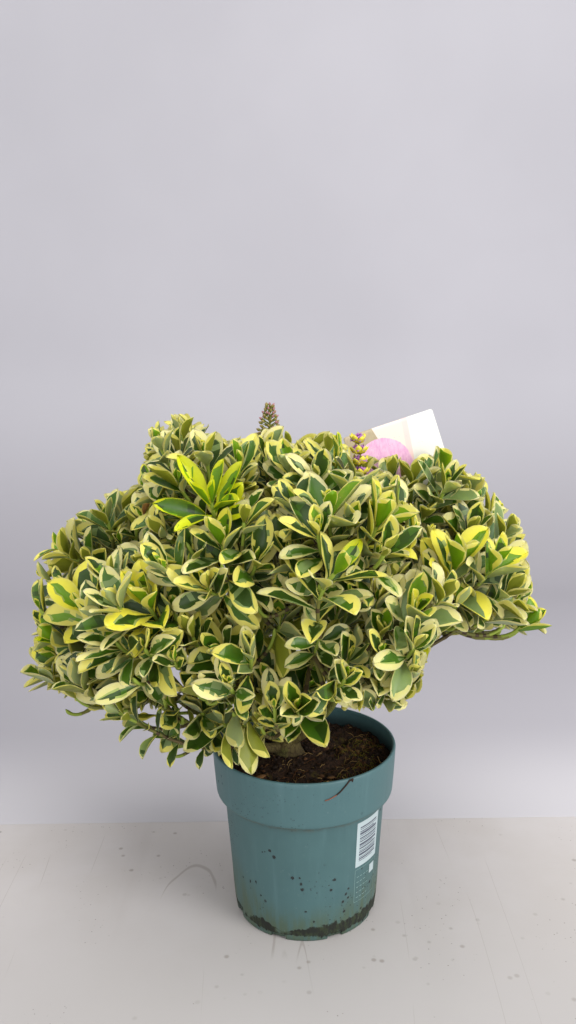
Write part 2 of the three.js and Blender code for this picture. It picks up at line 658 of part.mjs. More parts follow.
function soilSolid() {
  const wall = POT_WALL + CLEAR;
  const ledgeTop = POT_HEIGHT - RIM_BAND + POT_WALL;
  const profile = [
    [0, POT_WALL + CLEAR],
    [BASE_RADIUS - wall - 0.2, POT_WALL + CLEAR],
    [BODY_RADIUS - wall - 0.6, ledgeTop - LEDGE_DROP - POT_WALL - 1],
    [BODY_RADIUS - wall - 0.6, ledgeTop],
    [RIM_LOW_RADIUS - wall - 0.6, ledgeTop + 1.6],
    [RIM_LOW_RADIUS - wall, SOIL_TOP - 3],
    ...[0.8, 0.62, 0.44, 0.26].map((share) => [(RIM_LOW_RADIUS - wall) * share, SOIL_TOP]),
    [0, SOIL_TOP],
  ];
  const geometry = lathe(profile, 20);
  const place = geometry.attributes.position;
  for (let i = 0; i < place.count; i += 1) {
    if (place.getZ(i) > SOIL_TOP - 0.01) place.setZ(i, SOIL_TOP + soilRelief(place.getX(i), place.getY(i)));
  }
  return solidOf(geometry);
}

function cardSolid() {
  const frame = new THREE.Matrix4().makeBasis(card.right, card.up, card.facing).setPosition(card.middle);
  const plate = new THREE.BoxGeometry(CARD.width, CARD.height, CARD.thickness).applyMatrix4(frame);
  const sunk = card.foot.clone().addScaledVector(card.up, 3);
  const tie = bar([card.tieFoot, sunk], () => TIE_RADIUS, 6);
  const outer = card.ringRadius + TIE_RING / 2;
  const ends = [-1, 1].map((side) => card.hold.clone().addScaledVector(card.axis, side));
  const ring = bar(ends, () => outer, 8);
  const hole = ends.map((end) => end.clone().lerp(card.hold, -0.5));
  const bore = bar(hole, () => card.holdRadius + CUT_CLEAR, 8);
  return oneBody(wasm.Manifold.union([solidOf(plate), tie, ring]).subtract(bore));
}

/** The trunk, level where it is cut at the soil, or the same made thicker all round. */
const trunkSolid = (extra) =>
  bar(trunk.points, (step, angle) => trunk.radiusAt(step, angle) + extra, TRUNK_SIDES, { 0: UP });

/** A bough with its foot cut clear of the limb that it leaves. */
function boughSolid(row) {
  const bough = limbBar(boughs.get(row.name), BOUGH_SIDES);
  const parent = boughs.get(row.parent);
  const parentSolid = parent === trunk ? trunkSolid(CUT_CLEAR) : limbBar(parent, BOUGH_SIDES, CUT_CLEAR);
  return oneBody(bough.subtract(parentSolid));
}

const group = new THREE.Group();
group.add(meshFrom('pot', potSolid(), FINISHES.pot));
group.add(meshFrom('soil', soilSolid(), FINISHES.soil));
group.add(meshFrom('trunk', trunkSolid(0), FINISHES.bark));
for (const { row } of growing.filter(({ row: { direct } }) => !direct)) {
  group.add(meshFrom(`bough_${row.name}`, boughSolid(row), FINISHES.bark));
}
growing.forEach((mass, seed) => {
  group.add(meshFrom(`foliage_${mass.row.name}`, massSolid(mass, seed + 1), FINISHES.foliage));
});
group.add(meshFrom('label_card', cardSolid(), FINISHES.card));

export default group;
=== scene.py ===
"""A variegated hebe shrub in its nursery pot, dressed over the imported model.

The growing rule is in millimetres, with the origin in the middle of the pot's underside and +Z up.
"""
import json
import math
from collections import namedtuple

import bpy
import numpy as np
from mathutils import Matrix, Vector

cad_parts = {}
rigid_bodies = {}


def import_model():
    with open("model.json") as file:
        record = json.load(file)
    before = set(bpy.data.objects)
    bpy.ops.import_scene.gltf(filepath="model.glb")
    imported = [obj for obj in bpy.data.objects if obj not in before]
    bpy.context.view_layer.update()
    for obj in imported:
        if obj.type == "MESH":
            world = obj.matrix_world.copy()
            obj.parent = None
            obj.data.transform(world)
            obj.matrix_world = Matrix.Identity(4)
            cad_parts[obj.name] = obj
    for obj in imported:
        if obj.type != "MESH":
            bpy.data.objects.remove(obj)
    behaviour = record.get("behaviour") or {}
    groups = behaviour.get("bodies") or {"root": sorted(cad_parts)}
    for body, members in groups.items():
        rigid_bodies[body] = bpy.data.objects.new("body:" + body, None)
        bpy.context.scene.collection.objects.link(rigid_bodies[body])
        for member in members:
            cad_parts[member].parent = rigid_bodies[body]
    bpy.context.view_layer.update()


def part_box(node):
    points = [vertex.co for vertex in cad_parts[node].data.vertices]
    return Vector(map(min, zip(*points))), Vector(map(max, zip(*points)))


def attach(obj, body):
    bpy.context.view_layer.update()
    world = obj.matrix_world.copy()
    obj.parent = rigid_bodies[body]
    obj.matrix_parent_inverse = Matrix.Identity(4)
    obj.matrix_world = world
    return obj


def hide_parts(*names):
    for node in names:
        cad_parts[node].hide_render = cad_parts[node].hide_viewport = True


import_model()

MM = 0.001
UP = np.array([0.0, 0.0, 1.0])
FULL_TURN = 2 * math.pi
GOLDEN_TURN = math.pi * (3 - math.sqrt(5))


def link(name, data):
    """A new object in the scene."""
    made = bpy.data.objects.new(name, data)
    bpy.context.scene.collection.objects.link(made)
    return made


# Camera

EYE = np.array([-10.2, -638.7, 434.3])
EYE_PITCH, EYE_ROLL = math.radians(9.90), math.radians(-0.79)
LENS_LENGTH, FILM_HEIGHT = 29.883, 36.0


def aim_camera():
    data = bpy.data.cameras.new("camera")
    data.sensor_fit, data.sensor_height = "VERTICAL", FILM_HEIGHT
    data.lens, data.clip_start = LENS_LENGTH, 0.01
    camera = link("camera", data)
    ahead = Vector((0, math.cos(EYE_PITCH), -math.sin(EYE_PITCH)))
    level_up = Vector((0, math.sin(EYE_PITCH), math.cos(EYE_PITCH)))
    right = math.cos(EYE_ROLL) * Vector((1, 0, 0)) + math.sin(EYE_ROLL) * level_up
    place = Matrix((right, right.cross(ahead), -ahead)).transposed().to_4x4()
    place.translation = Vector(EYE) * MM
    camera.matrix_world = place
    bpy.context.scene.camera = camera


aim_camera()


# Finishes

def tone(red, green, blue):
    """A colour from its everyday values, 0 to 255."""
    shares = [value / 255 for value in (red, green, blue)]
    light = [s / 12.92 if s <= 0.04045 else ((s + 0.055) / 1.055) ** 2.4 for s in shares]
    return (*light, 1.0)


def operation(name):
    """A method that feeds its flow and the others into one maths node."""
    return lambda flow, *others: flow.maths(name, *others)


class Flow:
    """A socket that can be used in an expression."""

    def __init__(self, paint, socket):
        self.paint, self.socket = paint, socket

    def maths(self, name, *others):
        return self.paint.node("ShaderNodeMath", {"operation": name}, dict(enumerate((self, *others))))

    __add__ = __radd__ = operation("ADD")
    __mul__ = __rmul__ = operation("MULTIPLY")
    __sub__, __truediv__, __pow__ = operation("SUBTRACT"), operation("DIVIDE"), operation("POWER")
    size, least, most = operation("ABSOLUTE"), operation("MINIMUM"), operation("MAXIMUM")

    def __rsub__(self, other):
        return (self * -1.0) + other

    def between(self, low, high):
        """0 below low, 1 above high and smooth in between."""
        settings = {"interpolation_type": "SMOOTHSTEP"}
        return self.paint.node("ShaderNodeMapRange", settings, {0: self, 1: low, 2: high})


class Paint:
    """One material on the principled shader."""

    def __init__(self, name, **fixed):
        self.material = bpy.data.materials.new(name)
        self.material.use_nodes = True
        self.tree = self.material.node_tree
        self.shader = self.tree.nodes["Principled BSDF"]
        for socket, value in fixed.items():
            self.shader.inputs[socket.replace("_", " ")].default_value = value

    def node(self, kind, settings=None, inputs=None, out=0):
        made = self.tree.nodes.new(kind)
        for key, value in (settings or {}).items():
            setattr(made, key, value)
        for key, value in (inputs or {}).items():
            if isinstance(value, Flow):
                self.tree.links.new(value.socket, made.inputs[key])
            else:
                made.inputs[key].default_value = value
        return Flow(self, made.outputs[out])

    def place(self):
        return self.node("ShaderNodeTexCoord", out="Object")

    def axis(self, name):
        return self.node("ShaderNodeSeparateXYZ", None, {0: self.place()}, name)

    def vector(self, operation, first, second, out=0):
        return self.node("ShaderNodeVectorMath", {"operation": operation}, {0: first, 1: second}, out)

    def stretched(self, x, y, z):
        return self.vector("MULTIPLY", self.place(), (x, y, z))

    def noise(self, scale, detail=3.0, rough=0.55, at=None, warp=0.0):
        inputs = {"Vector": at or self.place(), "Scale": scale, "Detail": detail, "Roughness": rough,
                  "Distortion": warp}
        return self.node("ShaderNodeTexNoise", None, inputs, "Fac")

    def cells(self, scale, feature="F1", at=None):
        inputs = {"Vector": at or self.place(), "Scale": scale}
        return self.node("ShaderNodeTexVoronoi", {"feature": feature}, inputs, "Distance")

    def blend(self, share, low, high):
        """Two colours, each a flow or its everyday values."""
        low, high = (side if isinstance(side, Flow) else tone(*side) for side in (low, high))
        return self.node("ShaderNodeMix", {"data_type": "RGBA"}, {0: share, 6: low, 7: high}, 2)

    def cover(self, base, *coats):
        """The base under coats, each a share and a colour."""
        for share, colour in coats:
            base = self.blend(share, base, colour)
        return base

    def feed(self, **sockets):
        for name, flow in sockets.items():
            self.tree.links.new(flow.socket, self.shader.inputs[name.replace("_", " ")])

    def raise_by(self, height, depth, strength=1.0):
        """Relief, with depth in metres."""
        inputs = {"Strength": strength, "Distance": depth, "Height": height}
        self.feed(Normal=self.node("ShaderNodeBump", None, inputs))


def leaf_paint(name, colour, roughness=0.42):
    paint = Paint(name, Base_Color=tone(*colour), Specular_IOR_Level=0.38, Subsurface_Weight=0.4,
                  Subsurface_Radius=(1.0, 1.0, 0.35), Subsurface_Scale=0.0016)
    veins = paint.noise(420, 2.0)
    paint.feed(Roughness=roughness + 0.16 * (veins - 0.5))
    paint.raise_by(veins + 0.4 * paint.noise(1500, 2.0), 0.00022, 0.5)
    return paint.material


# Top greens, the pale step beside them, margins, backs and what is dry, in the order of their numbers.
LEAF_TONES = {
    "deep_green": (42, 68, 10),
    "mid_green": (60, 96, 14),
    "vivid_green": (98, 138, 12),
    "grey_green": (112, 132, 76),
    "soft_green": (150, 164, 88),
    "old_cream": (196, 190, 122),
    "cream": (216, 207, 134),
    "straw": (212, 202, 94),
    "yellow": (222, 211, 66),
    "lime": (190, 196, 16),
    # Partly painted light: back_glow_olive is the olive of the leaves' backs, made more saturated to stand
    # in for light shining through them.
    "back_glow_olive": (126, 132, 38),
    "back_sage": (146, 158, 104),
    "back_cream": (198, 190, 112),
    "dry_brown": (130, 86, 50),
}
LEAF_NUMBERS = {name: number for number, name in enumerate(LEAF_TONES)}
leaf_finishes = [leaf_paint(f"leaf_{name}", colour) for name, colour in LEAF_TONES.items()]


def bark_paint(name, dark, light):
    paint = Paint(name, Specular_IOR_Level=0.25)
    long_way = paint.stretched(1, 1, 0.35)
    flakes = paint.noise(260, 5.0, 0.62, at=long_way)
    lichen = paint.noise(90, 4.0, 0.6).between(0.56, 0.7)
    cracks = 1 - paint.cells(420, "DISTANCE_TO_EDGE", at=long_way).between(0.0, 0.09)
    # Painted shade: the bark is darker towards the soil, where the crown shades the trunk's foot.
    damp_and_shade = 1 - paint.axis("Z").between(0.128, 0.15)
    base = paint.cover(paint.blend(flakes, dark, light), (lichen * 0.7, (130, 138, 62)),
                       (cracks * 0.6, (34, 26, 18)), (damp_and_shade * 0.75, (46, 32, 22)))
    paint.feed(Base_Color=base, Roughness=0.72 + 0.2 * flakes)
    paint.raise_by(flakes - 0.5 * cracks, 0.0006, 0.8)
    return paint.material


def twig_paint(name, colour, marks):
    paint = Paint(name, Base_Color=tone(*colour), Specular_IOR_Level=0.35)
    grain = paint.noise(marks, 3.0, 0.6)
    paint.feed(Roughness=0.45 + 0.25 * grain)
    paint.raise_by(grain, 0.0003, 0.6)
    return paint.material


def paints(kind, *rows):
    return [kind(*row) for row in rows]


bark_finishes = paints(bark_paint, ("bark_old", (82, 72, 38), (150, 138, 80)),
                       ("bark_young", (104, 106, 48), (154, 160, 82)))
twig_finishes = paints(twig_paint, ("twig_old", (96, 84, 52), 700), ("twig_olive", (112, 112, 52), 800),
                       ("twig_young", (138, 156, 58), 900), ("twig_scar", (70, 56, 38), 900))


# Pieces

def new_mesh(name, points, faces, materials, flat=False):
    mesh = bpy.data.meshes.new(name)
    mesh.from_pydata(points, [], faces, shade_flat=flat)
    for material in materials:
        mesh.materials.append(material)
    return mesh


class Shape:
    """Points in millimetres, faces and the number of each face's finish, gathered for one piece."""

    def __init__(self):
        self.points, self.faces, self.finish, self.count = [], [], [], 0

    def add(self, points, faces, finish=0):
        """Faces is one table of corners or a list of tables, and finish goes with it."""
        tables = faces if isinstance(faces, list) else [faces]
        finishes = finish if isinstance(finish, list) else [finish] * len(tables)
        for table, numbers in zip(tables, finishes):
            self.faces.extend((np.asarray(table) + self.count).tolist())
            self.finish.append(np.broadcast_to(numbers, len(table)))
        self.points.append(np.asarray(points, float))
        self.count += len(points)

    def tube(self, points, radii, sides, start=None, finish=0):
        self.add(*rings_along(points, radii, sides, start), finish)

    def piece(self, name, materials, slot, replaces=(), flat=False, rims=None):
        points = np.concatenate(self.points) * MM
        mesh = new_mesh(name, points.tolist(), self.faces, materials, flat)
        mesh.polygons.foreach_set("material_index", np.concatenate(self.finish).astype(np.int32))
        if rims is not None:
            ends = np.empty(2 * len(mesh.edges), np.int32)
            mesh.edges.foreach_get("vertices", ends)
            sharp = rims[ends.reshape(-1, 2)].all(axis=1)
            mesh.attributes.new("sharp_edge", "BOOLEAN", "EDGE").data.foreach_set("value", sharp)
        mesh.update()
        made = link(name, mesh)
        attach(made, "root")
        if replaces:
            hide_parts(*replaces)


def unit(vector):
    return vector / np.linalg.norm(vector, axis=-1, keepdims=True)


def turned(vector, axis, angle):
    """The vector turned about an axis of length 1."""
    level = vector * math.cos(angle) + np.cross(axis, vector) * math.sin(angle)
    return level + axis * (axis @ vector) * (1 - math.cos(angle))


def around(turn, first, second):
    """The way at a turn from the first way towards the second."""
    return first * math.cos(turn) + second * math.sin(turn)


def level_way(turn):
    return np.array([math.cos(turn), math.sin(turn), 0])


def rings_along(points, radii, sides, start=None):
    """Rings of points round a line, and the quads between them. radii has a row for each point."""
    count = len(points)
    ways = unit(np.gradient(points, axis=0))
    across = start if start is not None else np.array([0.0, 1.0, 0.0])
    if abs(ways[0] @ unit(across)) > 0.9:
        across = np.array([1.0, 0.0, 0.0])
    angles = np.arange(sides) / sides * FULL_TURN
    radii = np.broadcast_to(np.asarray(radii, float).reshape(count, -1), (count, sides))
    rings = []
    for point, way, radius in zip(points, ways, radii):
        across = unit(across - way * (way @ across))
        over = np.cross(way, across)
        circle = np.outer(np.cos(angles), across) + np.outer(np.sin(angles), over)
        rings.append(point + circle * radius[:, None])
    return np.concatenate(rings), ring_quads(count, sides)


def ring_quads(count, sides):
    """Quads between rings of a closed band."""
    row, side = np.meshgrid(np.arange(count - 1), np.arange(sides), indexing="ij")
    after = (side + 1) % sides
    quads = np.stack([row * sides + side, row * sides + after, (row + 1) * sides + after,
                      (row + 1) * sides + side], axis=-1)
    return quads.reshape(-1, 4)


def sheet_quads(rows, columns):
    """Quads of an open grid."""
    row, column = np.meshgrid(np.arange(rows - 1), np.arange(columns - 1), indexing="ij")
    first = row * columns + column
    return np.stack([first, first + 1, first + columns + 1, first + columns], axis=-1).reshape(-1, 4)


# Limbs, by the rule of the part's source

TRUNK_FOOT = np.array([-12, 3, 127.3])
TRUNK_LEAN = np.array([1.5, -2, 27])
TRUNK_RADIUS = {"foot": 12.5, "waist": 8.6, "top": 7.4}
BOUGH_SHARE, SIDE_BOUGH_SHARE, BOUGH_TIP_RADIUS = 0.5, 0.78, 1.7
BOUGH_SAG, BOUGH_PULL, STEM_LENGTH = 0.3, 0.38, 56
CROWN_AXIS_X = -12
CROWN_HEART = np.array([CROWN_AXIS_X, 0, 185])
CROWN_LIFT, MASS_SPREAD, MASS_BULGE, MASS_GAP = 0.3, 31, 14, 0.2
SHOOT_FOOT, SHOOT_TIP = 1.7, 1.2
UNDERSIDE = {"height": 119, "radius": 88, "slope": 0.6, "tilt": 0.22}
POT_HEIGHT, RIM_RADIUS = 137.4, 72.9

# Name, azimuth, reach and height of a mass, its bough's parent and place on it, sag and swing.
MASSES = [
    ("left_low", 205, 136, 216, "trunk", 0.2, 0.65, 0),
    ("left_far_low", 183, 172, 200, "left_low", 0.2, 0.5, 0),
    ("left_under", 211, 106, 184, "left_far_low", 0.45, 0, 46),
    ("left_side", 196, 156, 260, "left_low", 0.5, BOUGH_SAG, 0),
    ("left_shoulder", 178, 152, 312, "trunk", 0.62, BOUGH_SAG, 0),
    ("left_front", 224, 132, 276, "left_shoulder", 0.4, BOUGH_SAG, 0),
    ("top_left_back", 148, 86, 374, "left_shoulder", 0.5, BOUGH_SAG, 0),
    ("top_left", 219, 72, 356, "trunk", 0.84, 0.95, 10),
    ("left_high", 247, 108, 318, "top_left", 0.45, BOUGH_SAG, 0),
    ("top_middle", 150, 18, 362, "top_left", 0.5, BOUGH_SAG, 0),
    ("front_mid", 280, 121, 262, "trunk", 0.66, BOUGH_SAG, 20),
    ("front_left", 249, 112, 246, "left_low", 0.3, BOUGH_SAG, 0),
    ("centre_high", 292, 106, 326, "front_mid", 0.5, BOUGH_SAG, 0),
    ("right_low", 319, 104, 226, "trunk", 0.32, BOUGH_SAG, 0),
    ("right_front", 310, 124, 276, "right_low", 0.45, BOUGH_SAG, 0),
    ("right_upper", 357, 150, 312, "trunk", 0.7, BOUGH_SAG, 0),
    ("right_far_low", 358, 158, 250, "right_upper", 0.4, 0, 0),
    ("right_side", 336, 139, 282, "right_upper", 0.6, BOUGH_SAG, 0),
    ("right_top", 5, 112, 343, "right_upper", 0.5, BOUGH_SAG, 0),
    ("top_right", 316, 43, 368, "trunk", 0.98, BOUGH_SAG, 12),
    ("back_top", 88, 62, 358, "top_right", 0.5, BOUGH_SAG, 0),
    ("back_centre", 92, 125, 280, "trunk", 0.7, BOUGH_SAG, 0),
    ("back_left_high", 128, 108, 320, "back_centre", 0.45, BOUGH_SAG, 0),
    ("back_right_high", 50, 110, 316, "back_centre", 0.6, BOUGH_SAG, 0),
    ("back_left", 150, 146, 260, "trunk", 0.4, BOUGH_SAG, 0),
    ("back_right", 30, 143, 256, "trunk", 0.45, BOUGH_SAG, 0),
    ("back_right_low", 58, 118, 210, "back_right", 0.4, BOUGH_SAG, 0),
    ("back_left_low", 118, 112, 212, None, 0.2, BOUGH_SAG, 0),
    ("front_low", 262, 82, 216, None, 0.1, BOUGH_SAG, 0),
]


def seeded(seed):
    """The same repeatable stream of numbers as the source's."""
    full = 0xFFFFFFFF
    state = seed & full

    def draw():
        nonlocal state
        state = (state + 0x6D2B79F5) & full
        mixed = ((state ^ (state >> 15)) * (state | 1)) & full
        mixed ^= (mixed + ((mixed ^ (mixed >> 7)) * (mixed | 61))) & full
        return (mixed ^ (mixed >> 14)) / 4294967296

    return draw


class Curve:
    """A Bezier curve through control points."""

    def __init__(self, *controls):
        self.controls = np.array(controls, float)
        self.powers = np.arange(len(controls))
        self.choose = np.array([math.comb(len(controls) - 1, k) for k in self.powers])

    def points(self, shares):
        shares = np.atleast_1d(shares)[:, None]
        weights = self.choose * shares ** self.powers * (1 - shares) ** self.powers[::-1]
        return weights @ self.controls

    def at(self, share):
        return self.points(share)[0]

    def way(self, share):
        return unit(Curve(*np.diff(self.controls, axis=0)).at(share))

    def length(self):
        return np.linalg.norm(np.diff(self.points(np.linspace(0, 1, 40)), axis=0), axis=1).sum()


class Limb:
    def __init__(self, curve, foot, tip, steps=6):
        self.curve, self.foot, self.tip = curve, foot, tip
        shares = np.linspace(0, 1, steps + 1)
        self.points = curve.points(shares)
        self.radii = self.radius(shares)

    def radius(self, share):
        return self.foot + (self.tip - self.foot) * share


class Mass:
    def __init__(self, number, name, azimuth, reach, height, parent, at, sag, swing):
        self.number, self.name, self.parent, self.at, self.sag = number, name, parent, at, sag
        self.azimuth, self.swing = math.radians(azimuth), math.radians(swing)
        flat = (CROWN_AXIS_X + reach * math.cos(self.azimuth), reach * math.sin(self.azimuth), height)
        self.centre = np.array(flat, float)
        self.out = unit(unit(self.centre - CROWN_HEART) + CROWN_LIFT * UP)
        self.foot = self.centre - STEM_LENGTH * self.out
        self.across = unit(np.cross(self.out, UP))
        self.over = np.cross(self.across, self.out)

    def bough(self, parent, share):
        start = parent.curve.at(self.at)
        chord = self.foot - start
        length = np.linalg.norm(chord)
        chord = chord / length
        leave = turned(unit(chord - self.sag * UP), UP, self.swing)
        self.arrive = unit(chord + self.out)
        curve = Curve(start, start + leave * length * BOUGH_PULL,
                      self.foot - self.arrive * length * BOUGH_PULL, self.foot)
        return Limb(curve, parent.radius(self.at) * share, BOUGH_TIP_RADIUS)

    def grow_stem(self, trunk):
        if self.parent is None:
            start = trunk.curve.at(self.at)
            way = unit(self.centre - start)
        else:
            start, way = self.foot, self.arrive
        bend = start + way * np.linalg.norm(self.centre - start) * 0.5
        self.stem = Limb(Curve(start, bend, self.centre), BOUGH_TIP_RADIUS, SHOOT_TIP, 4)


def grow_limbs():
    middle = TRUNK_FOOT + TRUNK_LEAN / 2 + (-0.8, 0, 0)
    trunk = Limb(Curve(TRUNK_FOOT, middle, TRUNK_FOOT + TRUNK_LEAN), TRUNK_RADIUS["waist"],
                 TRUNK_RADIUS["top"])
    limbs = {"trunk": trunk}
    masses = [Mass(number, *row) for number, row in enumerate(MASSES)]
    for mass in masses:
        if mass.parent:
            share = BOUGH_SHARE if mass.parent == "trunk" else SIDE_BOUGH_SHARE
            limbs[mass.name] = mass.bough(limbs[mass.parent], share)
        mass.grow_stem(trunk)
    return limbs, masses


limbs, masses = grow_limbs()
by_name = {mass.name: mass for mass in masses}


def closest(a, b, c, d):
    """The closest points of the segments a-b and c-d."""
    u, v, w = b - a, d - c, a - c
    uu, vv, uv = u @ u, v @ v, u @ v
    spread = uu * vv - uv * uv
    s = min(max((uv * (v @ w) - vv * (u @ w)) / spread, 0), 1) if spread > 1e-9 else 0
    t = min(max((uv * s + v @ w) / vv, 0), 1)
    s = min(max((uv * t - u @ w) / uu, 0), 1)
    return a + u * s, c + v * t


def borders_of(mass):
    normals, limits = [], []
    for other in masses:
        if other is mass:
            continue
        own, theirs = closest(mass.foot, mass.centre, other.foot, other.centre)
        normal = unit(theirs - own)
        normals.append(normal)
        limits.append(normal @ own + np.linalg.norm(theirs - own) / 2 - MASS_GAP)
    return np.array(normals), np.array(limits)


for mass in masses:
    mass.borders = borders_of(mass)
    mass.box = np.array(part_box(f"foliage_{mass.name}")) / MM


def within_reach(points, mass, room):
    """Whether points stay in the box of the mass's solid, or room beyond it."""
    points = np.atleast_2d(points)
    return bool(((points > mass.box[0] - room) & (points < mass.box[1] + room)).all())


def inside(points, mass, margin):
    normals, limits = mass.borders
    return bool((np.atleast_2d(points) @ normals.T <= limits - margin).all())


def above_underside(points):
    points = np.atleast_2d(points)
    x, y, z = points.T
    bowl = UNDERSIDE["slope"] * np.maximum(np.hypot(x - CROWN_AXIS_X, y) - UNDERSIDE["radius"], 0)
    seen = seen_from_front(points)
    edge = np.interp(seen[:, 0], *LOW_EDGE.T)
    floor = UNDERSIDE["height"] + bowl + UNDERSIDE["tilt"] * np.maximum(x, 0)
    return bool(((z > floor) & (seen[:, 2] > edge)).all())


# The crown's upper edge seen from eye level in front: across, and its height where it crosses the axis.
TOP_EDGE = np.array([
    (-217, 199), (-204, 288), (-191, 311), (-172, 324), (-153, 338), (-134, 345), (-124, 346),
    (-114, 390), (-96, 399), (-78, 398), (-69, 390), (-60, 384), (-50, 379), (-42, 384), (-28, 384),
    (-22, 391), (-14, 390), (-6, 381), (12, 380), (20, 387), (30, 383), (36, 374), (42, 366), (60, 365),
    (75, 367), (84, 361), (93, 366), (102, 374), (111, 369), (120, 363), (129, 356), (139, 348),
    (148, 335), (158, 322), (167, 317), (174, 302), (180, 244)])

# The lower edge seen in the same way, where stems show under it at the left.
LOW_EDGE = np.array([
    (-229, 183), (-218, 179), (-193, 176), (-170, 167), (-150, 158), (-126, 156), (-110, 162), (-98, 174),
    (-82, 175), (-70, 168), (-55, 156), (-39, 147), (-15, 145), (5, 150), (29, 161), (49, 159), (75, 160),
    (89, 172), (96, 191), (101, 215), (109, 223), (154, 227), (190, 218)])


def seen_from_front(points):
    """Where the lines of sight to points cross the upright plane through the axis."""
    away = np.atleast_2d(points) - EYE
    return EYE + away * (-EYE[1] / away[:, 1:2])


def under_top(points):
    """Whether points stay under the crown's upper edge."""
    seen = seen_from_front(points)
    return bool((seen[:, 2] < np.interp(seen[:, 0], *TOP_EDGE.T)).all())


# What shows between the leaves in front of it: across and height seen from the front, its reach, and how
# far forward it stands.
OPENINGS = np.array([
    (4, 193, 11, -76), (8, 206, 12, -93), (12, 218, 12, -110), (12, 232, 12, -118), (10, 246, 12, -122),
    (17, 262, 11, -126), (37, 377, 8, -10), (43, 374, 8, -10), (49, 366, 8, -10), (47, 355, 7, -10),
    (-21, 399, 9, -4)])


def keeps_open(points):
    """Whether points stay out of the lines of sight to what shows."""
    points = np.atleast_2d(points)
    away = np.linalg.norm(seen_from_front(points)[:, None, ::2] - OPENINGS[:, :2], axis=-1)
    return bool(((away > OPENINGS[:, 2]) | (points[:, 1:2] > OPENINGS[:, 3])).all())


POT_ROOM = 1.5


def clear_of_pot(points):
    points = np.atleast_2d(points)
    out = np.hypot(points[:, 0], points[:, 1])
    return bool(((points[:, 2] > POT_HEIGHT + POT_ROOM) | (out > RIM_RADIUS + POT_ROOM)).all())


# The label card's frame, and the tie that holds it to a bough

CARD = {"width": 74, "height": 58, "azimuth": 4, "turn": 17, "lean": 0.12}
CARD_TOP = np.array([69, 32, 387])
TIE_BOUGH, TIE_PLACE, TIE_ROOM = "right_top", 0.9, 1.6


def card_frame():
    azimuth, turn = math.radians(CARD["azimuth"]), math.radians(CARD["turn"])
    facing = unit(np.array([math.sin(azimuth), -math.cos(azimuth), CARD["lean"]]))
    upward = turned(unit(UP - facing * facing[2]), facing, turn)
    bough = limbs[TIE_BOUGH]
    hold, axis = bough.curve.at(TIE_PLACE), bough.curve.way(TIE_PLACE)
    foot = CARD_TOP - upward * CARD["height"]
    rise = foot - hold
    rise = unit(rise - axis * (rise @ axis))
    ring = bough.radius(TIE_PLACE) + TIE_ROOM
    return {"facing": facing, "up": upward, "right": np.cross(upward, facing), "foot": foot,
            "middle": CARD_TOP - upward * CARD["height"] / 2, "hold": hold, "axis": axis,
            "ring": ring, "tie_foot": hold + rise * ring}


card = card_frame()


def clear_of_card(points, room):
    away = np.atleast_2d(points) - card["middle"]
    for axis, half in (("right", CARD["width"] / 2), ("up", CARD["height"] / 2), ("facing", 1.5)):
        along = away @ card[axis]
        if along.min() > half + room or along.max() < -half - room:
            return True
    return False


# Room among limbs and leaves

class Lines:
    """Straight pieces of limbs, each with a radius."""

    def __init__(self):
        self.starts = np.empty((0, 3))
        self.ends = np.empty((0, 3))
        self.radii = np.empty(0)
        self.owners = np.empty(0, int)

    def add(self, points, radii, owner):
        self.starts = np.concatenate([self.starts, points[:-1]])
        self.ends = np.concatenate([self.ends, points[1:]])
        self.radii = np.concatenate([self.radii, np.maximum(radii[:-1], radii[1:])])
        self.owners = np.concatenate([self.owners, np.full(len(points) - 1, owner)])

    def near(self, spot, reach, owner):
        """The numbers of the lines within reach of a spot, other than the owner's."""
        away = np.linalg.norm((self.starts + self.ends) / 2 - spot, axis=1)
        half = np.linalg.norm(self.ends - self.starts, axis=1) / 2
        return np.flatnonzero((away - half < reach) & (self.owners != owner))

    def clear(self, points, room, keep=slice(None)):
        """Whether each point is farther than room from every line kept."""
        starts, spans = self.starts[keep], self.ends[keep] - self.starts[keep]
        away = points[:, None] - starts
        share = np.clip((away * spans).sum(-1) / (spans ** 2).sum(-1), 0, 1)
        gaps = np.linalg.norm(away - spans * share[..., None], axis=-1) - self.radii[keep]
        return bool((gaps > room).all())


def run_through(starts, ends, triangles):
    """Whether any of the lines runs through any of the triangles."""
    corner = triangles[:, 0]
    first, second = triangles[:, 1] - corner, triangles[:, 2] - corner
    normals = np.cross(first, second)
    above = ((starts[:, None] - corner) * normals).sum(-1)
    below = ((ends[:, None] - corner) * normals).sum(-1)
    line, face = np.nonzero(above * below < 0)
    if not len(line):
        return False
    share = above[line, face] / (above[line, face] - below[line, face])
    spot = starts[line] + (ends[line] - starts[line]) * share[:, None] - corner[face]
    a, b = first[face], second[face]
    aa, ab, bb = (a * a).sum(-1), (a * b).sum(-1), (b * b).sum(-1)
    sa, sb = (spot * a).sum(-1), (spot * b).sum(-1)
    wide = aa * bb - ab * ab
    u, v = (bb * sa - ab * sb) / wide, (aa * sb - ab * sa) / wide
    return bool(((u > 0) & (v > 0) & (u + v < 1)).any())


LEAF_FACES = np.array([[0, 1, 2], [1, 4, 2], [1, 3, 4], [3, 5, 4]])
LEAF_LINES = np.array([[0, 5], [1, 2], [3, 4], [0, 1], [1, 3], [3, 5], [0, 2], [2, 4], [4, 5]])
LEAF_WIDTH = 0.43


def bent(root, way, face, length, arch, share):
    """A point on a leaf's midline, which bends away from its face by arch in all."""
    turn = arch * share
    return root + length * (way * (math.sin(turn) / arch) - face * ((1 - math.cos(turn)) / arch))


def leaf_corners(root, way, across, face, length, arch):
    low, high, tip = (bent(root, way, face, length, arch, share) for share in (0.38, 0.74, 1.0))
    half = length * LEAF_WIDTH / 2
    low_side, high_side = across * half * 0.75, across * half * 0.95
    return np.array([root, low - low_side, low + low_side, high - high_side, high + high_side, tip])


# Leaves

